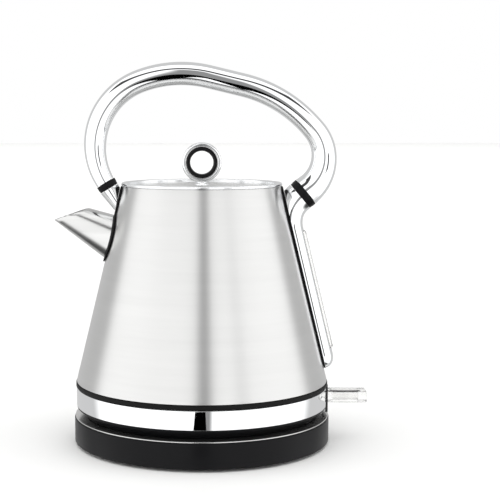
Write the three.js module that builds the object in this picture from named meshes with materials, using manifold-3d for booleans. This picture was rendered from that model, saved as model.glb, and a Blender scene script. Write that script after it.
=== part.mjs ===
// Electric kettle on a round power base: conical steel body, beak spout, hoop handle, lift-off lid.
// Millimetres, +Z up. The origin is on the kettle's upright axis at the table top.
// The spout points to -X, the switch lever and the water gauge to +X.
import * as THREE from 'three';
import { mergeVertices } from 'three/addons/utils/BufferGeometryUtils.js';
import Module from 'manifold-3d';

const wasm = await Module();
wasm.setup();

// ---- Driving dimensions: fits -----------------------------------------------------------
const gap = 0.3; // clearance between neighbouring pieces
const runningGap = 0.5; // clearance around pieces that move

// ---- Driving dimensions: power base -----------------------------------------------------
const baseRadius = 89.5;
const baseHeight = 20; // table to the upper face of the steel trim
const baseWall = 2.2;
const trimThickness = 0.8;
const domeRadius = 55.5;
const domeRise = 1.4; // edge of the centre dome above the trim
const domeStepRadius = domeRadius - 14.5;
const domeRimRadius = domeStepRadius - 9.5;
const domeRimWidth = 2;
const hubDrop = 1.2; // underside of the hub above the table
const hubRadius = baseRadius - 39.5;
const coverRecess = 0.8; // outer underside above the hub's face
const coverThickness = 1.8;
const footRadius = 7;
const footCircle = baseRadius - 15.5;
const footCount = 4;
const baseScrewCircle = footCircle - 10;
const baseScrewCount = 3;
const cordRadius = 3.4;

// ---- Driving dimensions: connector tower ------------------------------------------------
const towerRadius = 12.8;
const towerRise = 20.5; // tower's top above the trim
const towerCylinder = 11; // height of its straight part
const towerFootRadius = towerRadius + 4.2;
const towerFlangeRadius = towerFootRadius + 5;
const towerFlange = 2.2;
const grooveDepth = 9.5;
const liveGroove = [0, 2.6];
const neutralGroove = [5.6, 7.6];
const earthGroove = [9.2, 11.2];
const contactThickness = 1.3;

// ---- Driving dimensions: kettle body ----------------------------------------------------
const seatGap = 0.3; // underbody above the trim when the kettle stands on its base
const bodyHeight = 138.7; // lower edge of the cone to the rim
const bodyRadius = 88; // cone at its lower edge
const bandRadius = bodyRadius; // the band is flush with the cone's lower edge
const rimRadius = 54.4; // cone at the rim
const steelWall = 0.7;
const skirtHeight = 6.6;
const skirtRadius = bandRadius - 6.2; // where the bevel meets the underside
const bandHeight = 13.5;
const bandThickness = 0.8;
const gasketHeight = 3.3;
const gasketProud = 0.4;
const plasticWall = 2;
const neckRadius = bodyRadius - 2.4; // rolled neck of the shell behind the band
const neckDepth = 6;
const neckLip = neckRadius - 13.6; // inner radius of the neck's bottom flange
const rimLip = 1.6; // rim bead beyond the cone
const rimHeight = 2.2;
const lidSeatRadius = rimRadius - 2.7;
const mouthRadius = lidSeatRadius - 4.5;
const lidRecess = 2.5; // lid surface below the rim
const ledgeThickness = 1.2;

// ---- Driving dimensions: spout ----------------------------------------------------------
const spoutPitch = 26.25; // degrees, axis above the horizontal
const spoutHalfAngle = 11.05; // degrees
const spoutRootHeight = bodyHeight - 37.6; // axis at the wall, above the cone's lower edge
const spoutRootRadius = 15.2;
const spoutLength = 40.5; // tip beyond the wall along the axis
const spoutWall = 0.8;
const mouthTilt = 19; // degrees, mouth plane above the horizontal
const sealThickness = 1;
const spoutSealMargin = 2.6;

// ---- Driving dimensions: handle ---------------------------------------------------------
const hoopOverhang = 12.7; // front end of the hoop beyond the rim
const rearOverhang = 18.3; // rear end of the hoop beyond the rim
const hoopStartAngle = 121.3; // degrees, direction in which the hoop leaves its front collar
const hoopFront = { radius: 48, turn: 100.2 };
const hoopCrown = { radius: 81.5, turn: 34.6 };
const hoopRear = { radius: 92.3, turn: 37.3 };
const hoopElbow = { radius: 29, turn: 89.2 };
const hoopTail = 2.5;
const hoopFrontRadius = 6.7;
const hoopTopRadius = 8;
const hoopRearRadius = 10.8;
const hoopWallShare = 0.84; // bore of the tube over its outside
const frontCollarRadius = 7.1;
const frontCollarLength = 4.7;
const rearCollarLength = 5;
const spineWidth = 20;
const spineDepth = 8.6;
const spineTop = bodyHeight - 33.7; // above the cone's lower edge
const spineBottom = 8;
const gaugeWidth = 9;
const gaugeProud = 1;
const gaugeTop = spineTop - 2;
const gaugeBottom = 21;
const gaugeWall = 1.8;
const portRadius = 3;

// ---- Driving dimensions: lid ------------------------------------------------------------
const lidSheet = 0.8;
const lidEdge = 3.7;
const plugSkirt = 14;
const plugWall = 1.6;
const knobRadius = 13.85;
const knobWidth = 8;
const knobBore = 11.3;
const insertBore = 8.05;
const insertWidth = 8.8;
const stemRadius = 4;

// ---- Driving dimensions: heater and control ---------------------------------------------
const plateHeight = 37.7; // chamber floor above the underbody's lowest face
const plateFlange = 5;
const diffuserRadius = bodyRadius - 28;
const diffuserThickness = 3;
const barrelRadius = towerFootRadius + 3;
const controlRadius = barrelRadius + 9;
const elementRadius = controlRadius + 5;
const elementTube = 3.3;
const socketClearance = 0.8;
const pinReach = 8.5;
const livePin = [0, 1.6];
const neutralRing = [6.2, 7];
const earthRing = [9.8, 10.6];
const steamTubeRadius = 4;
const steamTubePlace = elementRadius + 12;
const discRadius = 9.5;
const discPlace = 15;

// ---- Driving dimensions: switch ---------------------------------------------------------
const leverWidth = 15;
const leverThickness = 7.9;
const leverReach = 28; // beyond the band
const leverTopDrop = 8; // lever's top below the cone's lower edge
const leverArmWidth = 8;
const leverArm = 10.5; // pivot to the inner end
const pivotInset = 7.5; // pivot behind the band's face
const pivotRadius = 1.6;
const tongueReach = 2; // trip lever's tongue under the arm's end
const bezelHalfWidth = 13;
const bezelProud = 0.9;
const leverSlotBelow = 2.7;

// ---- Driving dimensions: screws ---------------------------------------------------------
const screwRadius = 1.9;
const screwHeadRadius = 3.5;
const screwHead = 2.2;

// ---- Levels worked out from the sizes above ---------------------------------------------
const kettleSeat = baseHeight + seatGap;
const coneFoot = skirtHeight + bandHeight + gasketHeight; // cone's lower edge, kettle frame
const rimTop = coneFoot + bodyHeight;
const coneSlope = (bodyRadius - rimRadius) / bodyHeight;
const coneAngle = Math.atan(coneSlope);
const wallAcross = steelWall / Math.cos(coneAngle); // wall measured level
const coneRadiusAt = (z) => bodyRadius - (z - coneFoot) * coneSlope;
const deckTop = baseHeight - trimThickness - gap;
const domeEdge = baseHeight + domeRise;
const domeMiddle = domeEdge + 1;
const domeRimTop = domeEdge + 3.6;
const hubWell = domeEdge + 2.2;
const towerTop = baseHeight + towerRise;
const towerShoulder = towerTop - towerCylinder;
const towerFoot = hubWell + 0.6;
const socketRoof = towerTop + 1 - kettleSeat;
const socketSlot = socketRoof + 3.2;
const lidTop = rimTop - lidRecess;

const bigRound = 36;
const midRound = 20;
const smallRound = 12;
const radians = THREE.MathUtils.degToRad;

// ---- Materials --------------------------------------------------------------------------
function finish(color, roughness, metalness, opacity = 1) {
  return new THREE.MeshStandardMaterial({ color, roughness, metalness, opacity, transparent: opacity < 1 });
}
const brushedSteel = finish(0xd2d2d0, 0.32, 1);
const polishedChrome = finish(0xf2f3f4, 0.06, 1);
const blackPlastic = finish(0x17181a, 0.45, 0);
const blackRubber = finish(0x141414, 0.75, 0);
const clearPlastic = finish(0xe9edf0, 0.08, 0, 0.45);
const greySilicone = finish(0xb9bcbe, 0.6, 0);
const castAluminium = finish(0xb4b6b8, 0.5, 1);
const contactBrass = finish(0xc9a24a, 0.35, 1);
const screwSteel = finish(0x9a9c9f, 0.35, 1);
const lampAmber = finish(0xf08a3c, 0.3, 0);

// ---- Solids: geometry in, manifold for cuts, geometry out -------------------------------
function solid(geometry) {
  const bare = geometry.clone();
  bare.deleteAttribute('normal');
  bare.deleteAttribute('uv');
  const merged = mergeVertices(bare, 1e-4);
  const places = merged.attributes.position.array;
  const corners = [];
  let volume = 0;
  const index = merged.index.array;
  const a = new THREE.Vector3();
  const b = new THREE.Vector3();
  const c = new THREE.Vector3();
  for (let i = 0; i < index.length; i += 3) {
    const [p, q, r] = [index[i], index[i + 1], index[i + 2]];
    if (p === q || q === r || r === p) continue;
    corners.push(p, q, r);
    a.fromArray(places, 3 * p);
    b.fromArray(places, 3 * q);
    c.fromArray(places, 3 * r);
    volume += a.dot(b.cross(c));
  }
  if (volume < 0) corners.reverse();
  const vertProperties = new Float32Array(places);
  return new wasm.Manifold(new wasm.Mesh({ numProp: 3, vertProperties, triVerts: new Uint32Array(corners) }));
}

function geometryOf(body) {
  const mesh = body.getMesh();
  const geometry = new THREE.BufferGeometry();
  geometry.setAttribute('position', new THREE.BufferAttribute(mesh.vertProperties, 3));
  geometry.setIndex(new THREE.BufferAttribute(mesh.triVerts, 1));
  geometry.computeVertexNormals();
  return geometry;
}

function piece(parent, name, body, material, place = [0, 0, 0]) {
  const mesh = new THREE.Mesh(geometryOf(body), material);
  mesh.name = name;
  mesh.position.set(...place);
  parent.add(mesh);
  return mesh;
}

// Turns an outline of [radius, height] points about the upright axis. The outline runs from axis to
// axis, or is closed on itself where its first point is off the axis.
function turned(outline, sides) {
  const points = outline.map(([r, z]) => new THREE.Vector2(r, z));
  if (outline[0][0] > 0) points.push(points[0].clone());
  return new THREE.LatheGeometry(points, sides).rotateX(Math.PI / 2);
}
const turnedSolid = (outline, sides) => solid(turned(outline, sides));

function tubeRing(inner, outer, low, high, sides) {
  return turnedSolid([[inner, low], [outer, low], [outer, high], [inner, high]], sides);
}

function rod(radius, low, high, sides) {
  return turnedSolid([[0, low], [radius, low], [radius, high], [0, high]], sides);
}

function block(xs, ys, zs) {
  const geometry = new THREE.BoxGeometry(xs[1] - xs[0], ys[1] - ys[0], zs[1] - zs[0]);
  return solid(geometry.translate((xs[0] + xs[1]) / 2, (ys[0] + ys[1]) / 2, (zs[0] + zs[1]) / 2));
}

// The body's cone moved outwards by an offset measured square to its wall.
function coneSolid(offset, low, high, sides = bigRound) {
  const across = offset / Math.cos(coneAngle);
  const [r0, r1] = [coneRadiusAt(low) + across, coneRadiusAt(high) + across];
  return turnedSolid([[0, low], [r0, low], [r1, high], [0, high]], sides);
}

// The skin between two offsets of the cone, over the whole height of the body.
function coneSkin(inner, outer) {
  const [low, high] = [0, rimTop + 20];
  return coneSolid(outer, low, high).subtract(coneSolid(inner, low - 1, high + 1));
}

// ---- Curves in the XZ plane -------------------------------------------------------------
class ArcXZ extends THREE.Curve {
  constructor(start, heading, radius, turn) {
    super();
    Object.assign(this, { start, heading, radius, turn });
  }

  getPoint(t, target = new THREE.Vector3()) {
    const across = this.heading + Math.PI / 2;
    const swung = across - this.turn * t;
    const x = this.start.x - this.radius * (Math.cos(across) - Math.cos(swung));
    const z = this.start.z - this.radius * (Math.sin(across) - Math.sin(swung));
    return target.set(x, 0, z);
  }
}

// Extrudes a small section along a curve in the XZ plane, then scales each ring about the curve:
// sizeAt(t) gives [half depth in the plane, half width along Y] for a section of radius 1.
function taperedSweep(curve, steps, section, sizeAt) {
  const geometry = new THREE.ExtrudeGeometry(section, { steps, extrudePath: curve, bevelEnabled: false });
  const rings = curve.getSpacedPoints(steps);
  const position = geometry.attributes.position;
  const point = new THREE.Vector3();
  for (let i = 0; i < position.count; i += 1) {
    point.fromBufferAttribute(position, i);
    let nearest = 0;
    for (let k = 1; k < rings.length; k += 1) {
      if (point.distanceToSquared(rings[k]) < point.distanceToSquared(rings[nearest])) nearest = k;
    }
    const [depth, width] = sizeAt(nearest / steps);
    const centre = rings[nearest];
    position.setXYZ(
      i,
      centre.x + (point.x - centre.x) * depth,
      point.y * width,
      centre.z + (point.z - centre.z) * depth,
    );
  }
  return solid(geometry);
}

function circleSection(radius, hole, sides) {
  const section = new THREE.Shape();
  for (let i = 0; i < sides; i += 1) {
    const a = (i / sides) * 2 * Math.PI;
    const step = i === 0 ? 'moveTo' : 'lineTo';
    section[step](radius * Math.cos(a), radius * Math.sin(a));
  }
  section.closePath();
  if (hole > 0) section.holes.push(circleSection(hole, 0, sides));
  return section;
}

// Extrudes an outline drawn in (Y, Z) along X.
function panel(outline, xs) {
  const depth = xs[1] - xs[0];
  const geometry = new THREE.ExtrudeGeometry(outline, { depth, bevelEnabled: false, curveSegments: 6 });
  const turn = new THREE.Matrix4().makeBasis(
    new THREE.Vector3(0, 1, 0),
    new THREE.Vector3(0, 0, 1),
    new THREE.Vector3(1, 0, 0),
  );
  return solid(geometry.applyMatrix4(turn).translate(xs[0], 0, 0));
}

function roundedOutline(halfWidth, low, high, corner) {
  const outline = new THREE.Shape();
  outline.moveTo(-halfWidth + corner, low);
  outline.absarc(halfWidth - corner, low + corner, corner, -Math.PI / 2, 0);
  outline.absarc(halfWidth - corner, high - corner, corner, 0, Math.PI / 2);
  outline.absarc(-halfWidth + corner, high - corner, corner, Math.PI / 2, Math.PI);
  outline.absarc(-halfWidth + corner, low + corner, corner, Math.PI, 1.5 * Math.PI);
  return outline;
}

function around(count, startDegrees, radius) {
  return Array.from({ length: count }, (_, i) => {
    const a = radians(startDegrees + (360 * i) / count);
    return [radius * Math.cos(a), radius * Math.sin(a)];
  });
}

const standing = (radius, low, high, [x, y], sides = smallRound) =>
  solid(turned([[0, low], [radius, low], [radius, high], [0, high]], sides).translate(x, y, 0));

// A bar along Y at a place in the XZ plane.
function crossBar(radius, ys, [x, z], sides = smallRound) {
  const geometry = turned([[0, ys[0]], [radius, ys[0]], [radius, ys[1]], [0, ys[1]]], sides);
  return solid(geometry.rotateX(-Math.PI / 2).translate(x, 0, z));
}

const object = new THREE.Group();
const powerBase = new THREE.Group();
const connector = new THREE.Group();
const kettle = new THREE.Group();
const lid = new THREE.Group();
kettle.position.z = kettleSeat;
lid.position.z = lidTop;
kettle.add(lid);
object.add(powerBase, connector, kettle);

// ---- Power base -------------------------------------------------------------------------
const coverUnderside = hubDrop + coverRecess;
const coverTop = coverUnderside + coverThickness;
const coverBoss = coverTop + 2.6;
const screwSeat = coverUnderside + screwHead;
const baseScrews = around(baseScrewCount, 30, baseScrewCircle);
const baseFeet = around(footCount, 45, footCircle);
const flangeTop = hubWell - baseWall - gap;
const flangeFoot = flangeTop - towerFlange;
const glandHalf = cordRadius + 2.6;
const glandTop = coverTop + gap + 2 * cordRadius + 2.2;
const glandAxis = coverTop + gap + cordRadius + 1;
const baseInside = baseRadius - baseWall;

function baseHousing() {
  let body = turnedSolid([
    [baseInside, coverUnderside],
    [baseRadius, coverUnderside],
    [baseRadius, deckTop - 0.6],
    [baseRadius - 0.6, deckTop],
    [domeRadius, deckTop],
    [domeRadius, domeEdge - 0.5],
    [domeRadius - 0.6, domeEdge],
    [domeStepRadius, domeMiddle],
    [domeStepRadius, domeMiddle + 0.5],
    [domeRimRadius, domeMiddle + 1.2],
    [domeRimRadius, domeRimTop],
    [domeRimRadius - domeRimWidth, domeRimTop],
    [domeRimRadius - domeRimWidth - 1, hubWell],
    [towerFootRadius + runningGap, hubWell],
    [towerFootRadius + runningGap, hubWell - baseWall],
    [domeRimRadius - domeRimWidth - 2, hubWell - baseWall],
    [domeRimRadius + 2, domeMiddle - baseWall],
    [domeRadius - 3, domeEdge - baseWall],
    [domeRadius - baseWall, deckTop - baseWall],
    [baseInside, deckTop - baseWall],
  ], bigRound);
  for (const spot of baseScrews) {
    body = body.add(standing(screwHeadRadius + 1.5, coverBoss + gap, deckTop - 1, spot));
    body = body.subtract(standing(screwRadius + gap, coverBoss - 1, deckTop - baseWall - 1, spot));
  }
  const notch = [-glandHalf - gap, glandHalf + gap];
  return body.subtract(block(notch, [baseInside - 4, baseRadius + 2], [coverUnderside - 1, glandTop + gap]));
}

function baseTrimPlate() {
  return tubeRing(domeRadius + gap, baseRadius - 0.5, deckTop + gap, baseHeight, bigRound);
}

function baseBottomCover() {
  const inner = towerFootRadius - 4;
  const outer = towerFlangeRadius - 1;
  let body = turnedSolid([
    [0, hubDrop],
    [hubRadius, hubDrop],
    [hubRadius, coverUnderside],
    [baseInside - gap, coverUnderside],
    [baseInside - gap, coverTop],
    [outer, coverTop],
    [outer, flangeFoot - gap],
    [inner, flangeFoot - gap],
    [inner, coverTop],
    [0, coverTop],
  ], bigRound);
  for (const spot of baseFeet) {
    body = body.subtract(standing(footRadius + gap, coverUnderside - 1, coverUnderside + 1, spot));
  }
  for (const spot of baseScrews) {
    body = body.add(standing(screwHeadRadius + 2, coverTop - 0.5, coverBoss, spot));
    body = body.subtract(standing(screwHeadRadius + gap, coverUnderside - 1, screwSeat, spot));
    body = body.subtract(standing(screwRadius + gap, coverUnderside, coverBoss + 1, spot));
  }
  return body;
}

// Gland for the supply cord: it slides up into the notch of the housing's wall.
function cordGland() {
  const half = [-glandHalf, glandHalf];
  const wide = [-glandHalf - 2, glandHalf + 2];
  return block(wide, [baseInside - 4, baseInside - 0.9], [coverTop + gap, glandTop + 1.2])
    .add(block(half, [baseInside - 2, baseRadius + 1], [coverTop + gap, glandTop]))
    .add(block(half, [baseInside + gap, baseRadius + 1], [coverUnderside + gap, glandTop]))
    .subtract(crossBar(cordRadius, [baseInside - 6, baseRadius + 3], [0, glandAxis]));
}

piece(powerBase, 'base_housing', baseHousing(), blackPlastic);
piece(powerBase, 'base_trim_plate', baseTrimPlate(), brushedSteel);
piece(powerBase, 'base_bottom_cover', baseBottomCover(), blackPlastic);
piece(powerBase, 'cord_gland', cordGland(), blackRubber);
baseFeet.forEach(([x, y], i) => {
  const foot = turnedSolid([
    [0, 0],
    [footRadius - 0.6, 0],
    [footRadius, 0.6],
    [footRadius, coverUnderside + 1 - gap],
    [0, coverUnderside + 1 - gap],
  ], smallRound);
  piece(powerBase, `base_foot_${i + 1}`, foot, blackRubber, [x, y, 0]);
});

function screw(length) {
  return turnedSolid([
    [0, 0],
    [screwHeadRadius, 0],
    [screwHeadRadius, screwHead - gap],
    [screwRadius, screwHead - gap],
    [screwRadius, length],
    [0, length],
  ], smallRound);
}
baseScrews.forEach(([x, y], i) => {
  const length = deckTop - baseWall - 1 - gap - coverUnderside;
  piece(powerBase, `base_screw_${i + 1}`, screw(length), screwSteel, [x, y, coverUnderside]);
});

// ---- Connector tower: turns in the base, and carries the kettle -------------------------
const grooveFloor = towerTop - grooveDepth;

function connectorTower() {
  let body = turnedSolid([
    [0, flangeFoot],
    [towerFlangeRadius, flangeFoot],
    [towerFlangeRadius, flangeTop],
    [towerFootRadius, flangeTop],
    [towerFootRadius, towerFoot],
    [towerRadius, towerShoulder],
    [towerRadius, towerTop - 0.6],
    [towerRadius - 0.6, towerTop],
    [0, towerTop],
  ], midRound);
  for (const [inner, outer] of [liveGroove, neutralGroove, earthGroove]) {
    const cut = inner > 0
      ? tubeRing(inner, outer, grooveFloor, towerTop + 1, midRound)
      : rod(outer, grooveFloor, towerTop + 1, midRound);
    body = body.subtract(cut);
  }
  for (const turn of [-90, 30, 150]) {
    const slot = new THREE.BoxGeometry(3, 1.8, towerCylinder - 4).rotateZ(radians(turn));
    const out = towerRadius;
    const [x, y] = [out * Math.cos(radians(turn)), out * Math.sin(radians(turn))];
    slot.translate(x, y, towerTop - towerCylinder / 2);
    body = body.subtract(solid(slot));
  }
  return body;
}

function groovedContact([inner, outer], wall) {
  const [low, high] = [grooveFloor + gap, grooveFloor + gap + contactThickness];
  return inner > 0
    ? tubeRing(inner + wall, outer - wall, low, high, midRound)
    : rod(outer - wall, low, high, smallRound);
}

piece(connector, 'connector_tower', connectorTower(), blackPlastic);
piece(connector, 'tower_live_contact', groovedContact(liveGroove, gap), contactBrass);
piece(connector, 'tower_neutral_contact', groovedContact(neutralGroove, gap), contactBrass);
piece(connector, 'tower_earth_contact', groovedContact(earthGroove, gap), contactBrass);

// ---- Kettle body: levels and shared cutters, in the kettle's frame ----------------------
const bandFoot = skirtHeight;
const bandTop = skirtHeight + bandHeight;
const neckFoot = coneFoot - neckDepth;
const shellTop = rimTop - rimHeight - gap;
const plateSheet = 0.8;
const diffuserTop = plateHeight - plateSheet - gap;
const controlTop = diffuserTop - diffuserThickness - gap;
const stepOne = domeMiddle + 1.3 - kettleSeat;
const stepTwo = domeRimTop + 0.8 - kettleSeat;
const saddleFace = sealThickness + 2 * gap; // offset of what sits on a saddle seal
const underbodyScrews = around(3, 90, skirtRadius - 4);

// Spout axis: from the wall outwards and up.
const spoutAxis = [-Math.cos(radians(spoutPitch)), Math.sin(radians(spoutPitch))];
const spoutRootZ = coneFoot + spoutRootHeight;
const spoutRoot = [-coneRadiusAt(spoutRootZ), spoutRootZ];
const alongSpout = (d) => [spoutRoot[0] + d * spoutAxis[0], spoutRoot[1] + d * spoutAxis[1]];
const spoutSlope = Math.tan(radians(spoutHalfAngle));
const spoutRadiusAt = (d) => spoutRootRadius - d * spoutSlope;

// A tapered round bar between two points in the XZ plane.
function taperedBar(radii, from, to, sides) {
  const start = new THREE.Vector3(from[0], 0, from[1]);
  const along = new THREE.Vector3(to[0], 0, to[1]).sub(start);
  const length = along.length();
  const geometry = turned([[0, 0], [radii[0], 0], [radii[1], length], [0, length]], sides);
  const turn = new THREE.Quaternion().setFromUnitVectors(new THREE.Vector3(0, 0, 1), along.normalize());
  return solid(geometry.applyQuaternion(turn).translate(start.x, 0, start.z));
}

function spoutCone(inset, from, to) {
  const radii = [spoutRadiusAt(from) - inset, spoutRadiusAt(to) - inset];
  return taperedBar(radii, alongSpout(from), alongSpout(to), midRound);
}
const spoutPassage = spoutCone(spoutWall + 1.2, -16, 12);

// Screws that hold the handle's brackets, through the wall along X.
const frontScrewZ = rimTop - 13.7;
const rearScrewZ = rimTop - 20.7;
const screwBar = (side, z, radius, from, to) =>
  taperedBar([radius, radius], [side * from, z], [side * to, z], smallRound);

// Places a shape drawn with X square out of the rear wall and Z up along it.
function onRearWall(geometry, height) {
  const place = [coneRadiusAt(height), 0, height];
  return solid(geometry.rotateY(-coneAngle).translate(...place));
}

function rearBlock(xs, width, low, high) {
  const length = (high - low) / Math.cos(coneAngle);
  const geometry = new THREE.BoxGeometry(xs[1] - xs[0], width, length);
  return onRearWall(geometry.translate((xs[0] + xs[1]) / 2, 0, 0), (low + high) / 2);
}

function rearBar(radius, xs, height) {
  const geometry = turned([[0, xs[0]], [radius, xs[0]], [radius, xs[1]], [0, xs[1]]], smallRound);
  return onRearWall(geometry.rotateY(Math.PI / 2), height);
}
const gaugeLow = coneFoot + gaugeBottom;
const gaugeHigh = coneFoot + gaugeTop;
const portHeights = [gaugeLow + 9, gaugeHigh - 9];

// ---- Kettle body: steel -----------------------------------------------------------------
function bodyShell() {
  const flat = coneFoot + steelWall;
  let body = turnedSolid([
    [neckLip, neckFoot],
    [neckRadius, neckFoot],
    [neckRadius, coneFoot],
    [bodyRadius, coneFoot],
    [coneRadiusAt(shellTop), shellTop],
    [coneRadiusAt(shellTop) - wallAcross, shellTop],
    [coneRadiusAt(flat) - wallAcross, flat],
    [neckRadius - steelWall, flat],
    [neckRadius - steelWall, neckFoot + steelWall],
    [neckLip, neckFoot + steelWall],
  ], bigRound);
  body = body.subtract(spoutPassage);
  body = body.subtract(screwBar(-1, frontScrewZ, screwRadius + gap, 40, 90));
  body = body.subtract(screwBar(1, rearScrewZ, screwRadius + gap, 40, 90));
  for (const height of portHeights) body = body.subtract(rearBar(portRadius + gap, [-4, 4], height));
  for (const spot of underbodyScrews) {
    body = body.subtract(standing(screwRadius + gap, neckFoot - 1, neckFoot + 2, spot));
  }
  return body;
}

function mouthRing() {
  const ledgeTop = lidTop - lidEdge - gap;
  const lipRadius = rimRadius + rimLip;
  const inside = coneRadiusAt(shellTop) - wallAcross - gap - 0.3;
  return turnedSolid([
    [mouthRadius, ledgeTop - ledgeThickness],
    [inside, ledgeTop - ledgeThickness],
    [inside, rimTop - rimHeight],
    [lipRadius, rimTop - rimHeight],
    [lipRadius, rimTop - 1.3],
    [lipRadius - 0.5, rimTop - 0.4],
    [lipRadius - 1.4, rimTop],
    [lidSeatRadius + 0.5, rimTop],
    [lidSeatRadius, rimTop - 0.5],
    [lidSeatRadius, ledgeTop],
    [mouthRadius, ledgeTop],
  ], bigRound);
}

// Everything above the slanted plane of the spout's mouth, which passes through the tip.
function aboveMouth() {
  const axial = alongSpout(spoutLength);
  const below = spoutRadiusAt(spoutLength);
  const tip = [axial[0] - below * spoutAxis[1], axial[1] + below * spoutAxis[0]];
  const cutter = new THREE.BoxGeometry(160, 80, 60).translate(60, 0, 30).rotateY(-radians(mouthTilt));
  return solid(cutter.translate(tip[0], 0, tip[1]));
}

function spout() {
  const far = spoutLength + 20;
  return spoutCone(0, -20, far)
    .subtract(spoutCone(spoutWall, -22, far + 0.5))
    .subtract(aboveMouth())
    .subtract(coneSolid(saddleFace, 0, rimTop + 40));
}

// Saddle seal: lies on the wall under the spout and under the handle's front bracket.
function spoutSaddleSeal() {
  const round = spoutRootRadius + spoutSealMargin;
  const foot = new THREE.Shape();
  foot.absarc(0, spoutRootZ, round, 0, 2 * Math.PI);
  const top = rimTop - rimHeight - 2 * gap;
  const strip = roundedOutline(frontCollarRadius + 0.8, spoutRootZ, top, 2);
  const reach = [-bodyRadius - 10, -mouthRadius + 10];
  return coneSkin(gap, gap + sealThickness)
    .intersect(panel(foot, reach).add(panel(strip, reach)))
    .subtract(spoutPassage)
    .subtract(screwBar(-1, frontScrewZ, screwRadius + gap, 40, 90));
}

const filterHalf = spoutRootRadius + 1.8;
function filterFrame() {
  const face = steelWall + gap;
  const outside = roundedOutline(filterHalf, spoutRootZ - filterHalf - 3, spoutRootZ + filterHalf + 3, 4);
  const [low, high] = [spoutRootZ - filterHalf + 1, spoutRootZ + filterHalf - 1];
  const window = roundedOutline(filterHalf - 3.5, low, high, 3);
  const reach = [-bodyRadius, -mouthRadius + 20];
  return coneSkin(-face - 2, -face).intersect(panel(outside, reach)).subtract(panel(window, reach));
}

function filterMesh() {
  const face = steelWall + 2 * gap + 2;
  const [low, high] = [spoutRootZ - filterHalf - 1, spoutRootZ + filterHalf + 1];
  const outside = roundedOutline(filterHalf - 1.5, low, high, 3);
  return coneSkin(-face - 0.4, -face).intersect(panel(outside, [-bodyRadius, -mouthRadius + 20]));
}

// The hole that the steam tube passes through.
const steamHole = (clearance) =>
  standing(steamTubeRadius + clearance, plateHeight - 9, plateHeight + 3, [steamTubePlace, 0]);

function elementPlate() {
  const radius = coneRadiusAt(plateHeight) - wallAcross - gap;
  return turnedSolid([
    [0, plateHeight - plateSheet],
    [radius - plateSheet, plateHeight - plateSheet],
    [radius - plateSheet, plateHeight - plateFlange],
    [radius, plateHeight - plateFlange],
    [radius, plateHeight],
    [0, plateHeight],
  ], bigRound).subtract(steamHole(gap));
}

piece(kettle, 'body_shell', bodyShell(), brushedSteel);
piece(kettle, 'mouth_ring', mouthRing(), polishedChrome);
piece(kettle, 'spout', spout(), brushedSteel);
piece(kettle, 'spout_saddle_seal', spoutSaddleSeal(), blackRubber);
piece(kettle, 'filter_frame', filterFrame(), blackPlastic);
piece(kettle, 'filter_mesh', filterMesh(), brushedSteel);
piece(kettle, 'element_plate', elementPlate(), brushedSteel);

// ---- Kettle body: heater and control ----------------------------------------------------
function heatDiffuser() {
  return rod(diffuserRadius, diffuserTop - diffuserThickness, diffuserTop, bigRound)
    .subtract(steamHole(2 * gap));
}

// C-shaped sheathed element under the diffuser, open towards the steam tube, with two upright tails.
function heatingElement() {
  const opening = radians(70);
  const arc = new ArcXZ(new THREE.Vector3(), Math.PI / 2, elementRadius, 2 * Math.PI - opening);
  const section = circleSection(elementTube, 0, 8);
  const geometry = new THREE.ExtrudeGeometry(section, { steps: 24, extrudePath: arc, bevelEnabled: false });
  geometry.translate(-elementRadius, 0, 0).rotateX(Math.PI / 2).rotateZ(opening / 2 - Math.PI);
  const middle = controlTop - elementTube;
  let body = solid(geometry.translate(0, 0, middle));
  for (const side of [-1, 1]) {
    const a = side * (opening / 2 + 0.06);
    const spot = [elementRadius * Math.cos(a), elementRadius * Math.sin(a)];
    body = body.add(standing(1.5, middle - 12, middle, spot, 10));
  }
  return body;
}

const trunnion = [controlRadius + 4, coneFoot - leverTopDrop - leverThickness / 2];
const trunnionRadius = 1.2;
function controlHousing() {
  const flare = towerFootRadius + socketClearance;
  const bore = towerRadius + socketClearance;
  const slotted = [];
  for (const [inner, outer] of [livePin, neutralRing, earthRing]) {
    if (inner > 0) slotted.push([inner - gap, socketRoof], [inner - gap, socketSlot]);
    else slotted.push([0, socketSlot]);
    slotted.push([outer + gap, socketSlot], [outer + gap, socketRoof]);
  }
  let body = turnedSolid([
    ...slotted,
    [bore, socketRoof],
    [bore, towerShoulder + 0.8 - kettleSeat],
    [flare, stepTwo],
    [barrelRadius, stepTwo],
    [barrelRadius, stepTwo + plasticWall + gap],
    [controlRadius, stepTwo + plasticWall + gap],
    [controlRadius, controlTop],
    [0, controlTop],
  ], midRound);
  for (const side of [-1, 1]) {
    const pocket = [0, side * discPlace];
    body = body.subtract(standing(discRadius + 0.7, controlTop - 2, controlTop + 1, pocket, midRound));
    const ear = side > 0 ? [3.8, 6] : [-6, -3.8];
    body = body.add(block([controlRadius - 3, trunnion[0] + 3], ear, [trunnion[1] - 3, trunnion[1] + 3]));
  }
  return body.subtract(crossBar(trunnionRadius + gap, [-8, 8], trunnion));
}

function socketContact([inner, outer]) {
  const [low, high] = [socketRoof - pinReach, socketSlot - gap];
  return inner > 0 ? tubeRing(inner, outer, low, high, midRound) : rod(outer, low, high, smallRound);
}

function bimetalDisc() {
  const dome = 0.7;
  const sheet = 0.6;
  return turnedSolid([[0, dome], [discRadius, 0], [discRadius, sheet], [0, dome + sheet]], smallRound);
}

// Blade and disc that the steam from the tube blows on.
function steamBimetal() {
  const level = controlTop - 6;
  return standing(8, level, level + 0.6, [steamTubePlace, 0])
    .add(block([controlRadius + gap, steamTubePlace], [-4, 4], [level, level + 0.6]));
}

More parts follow.
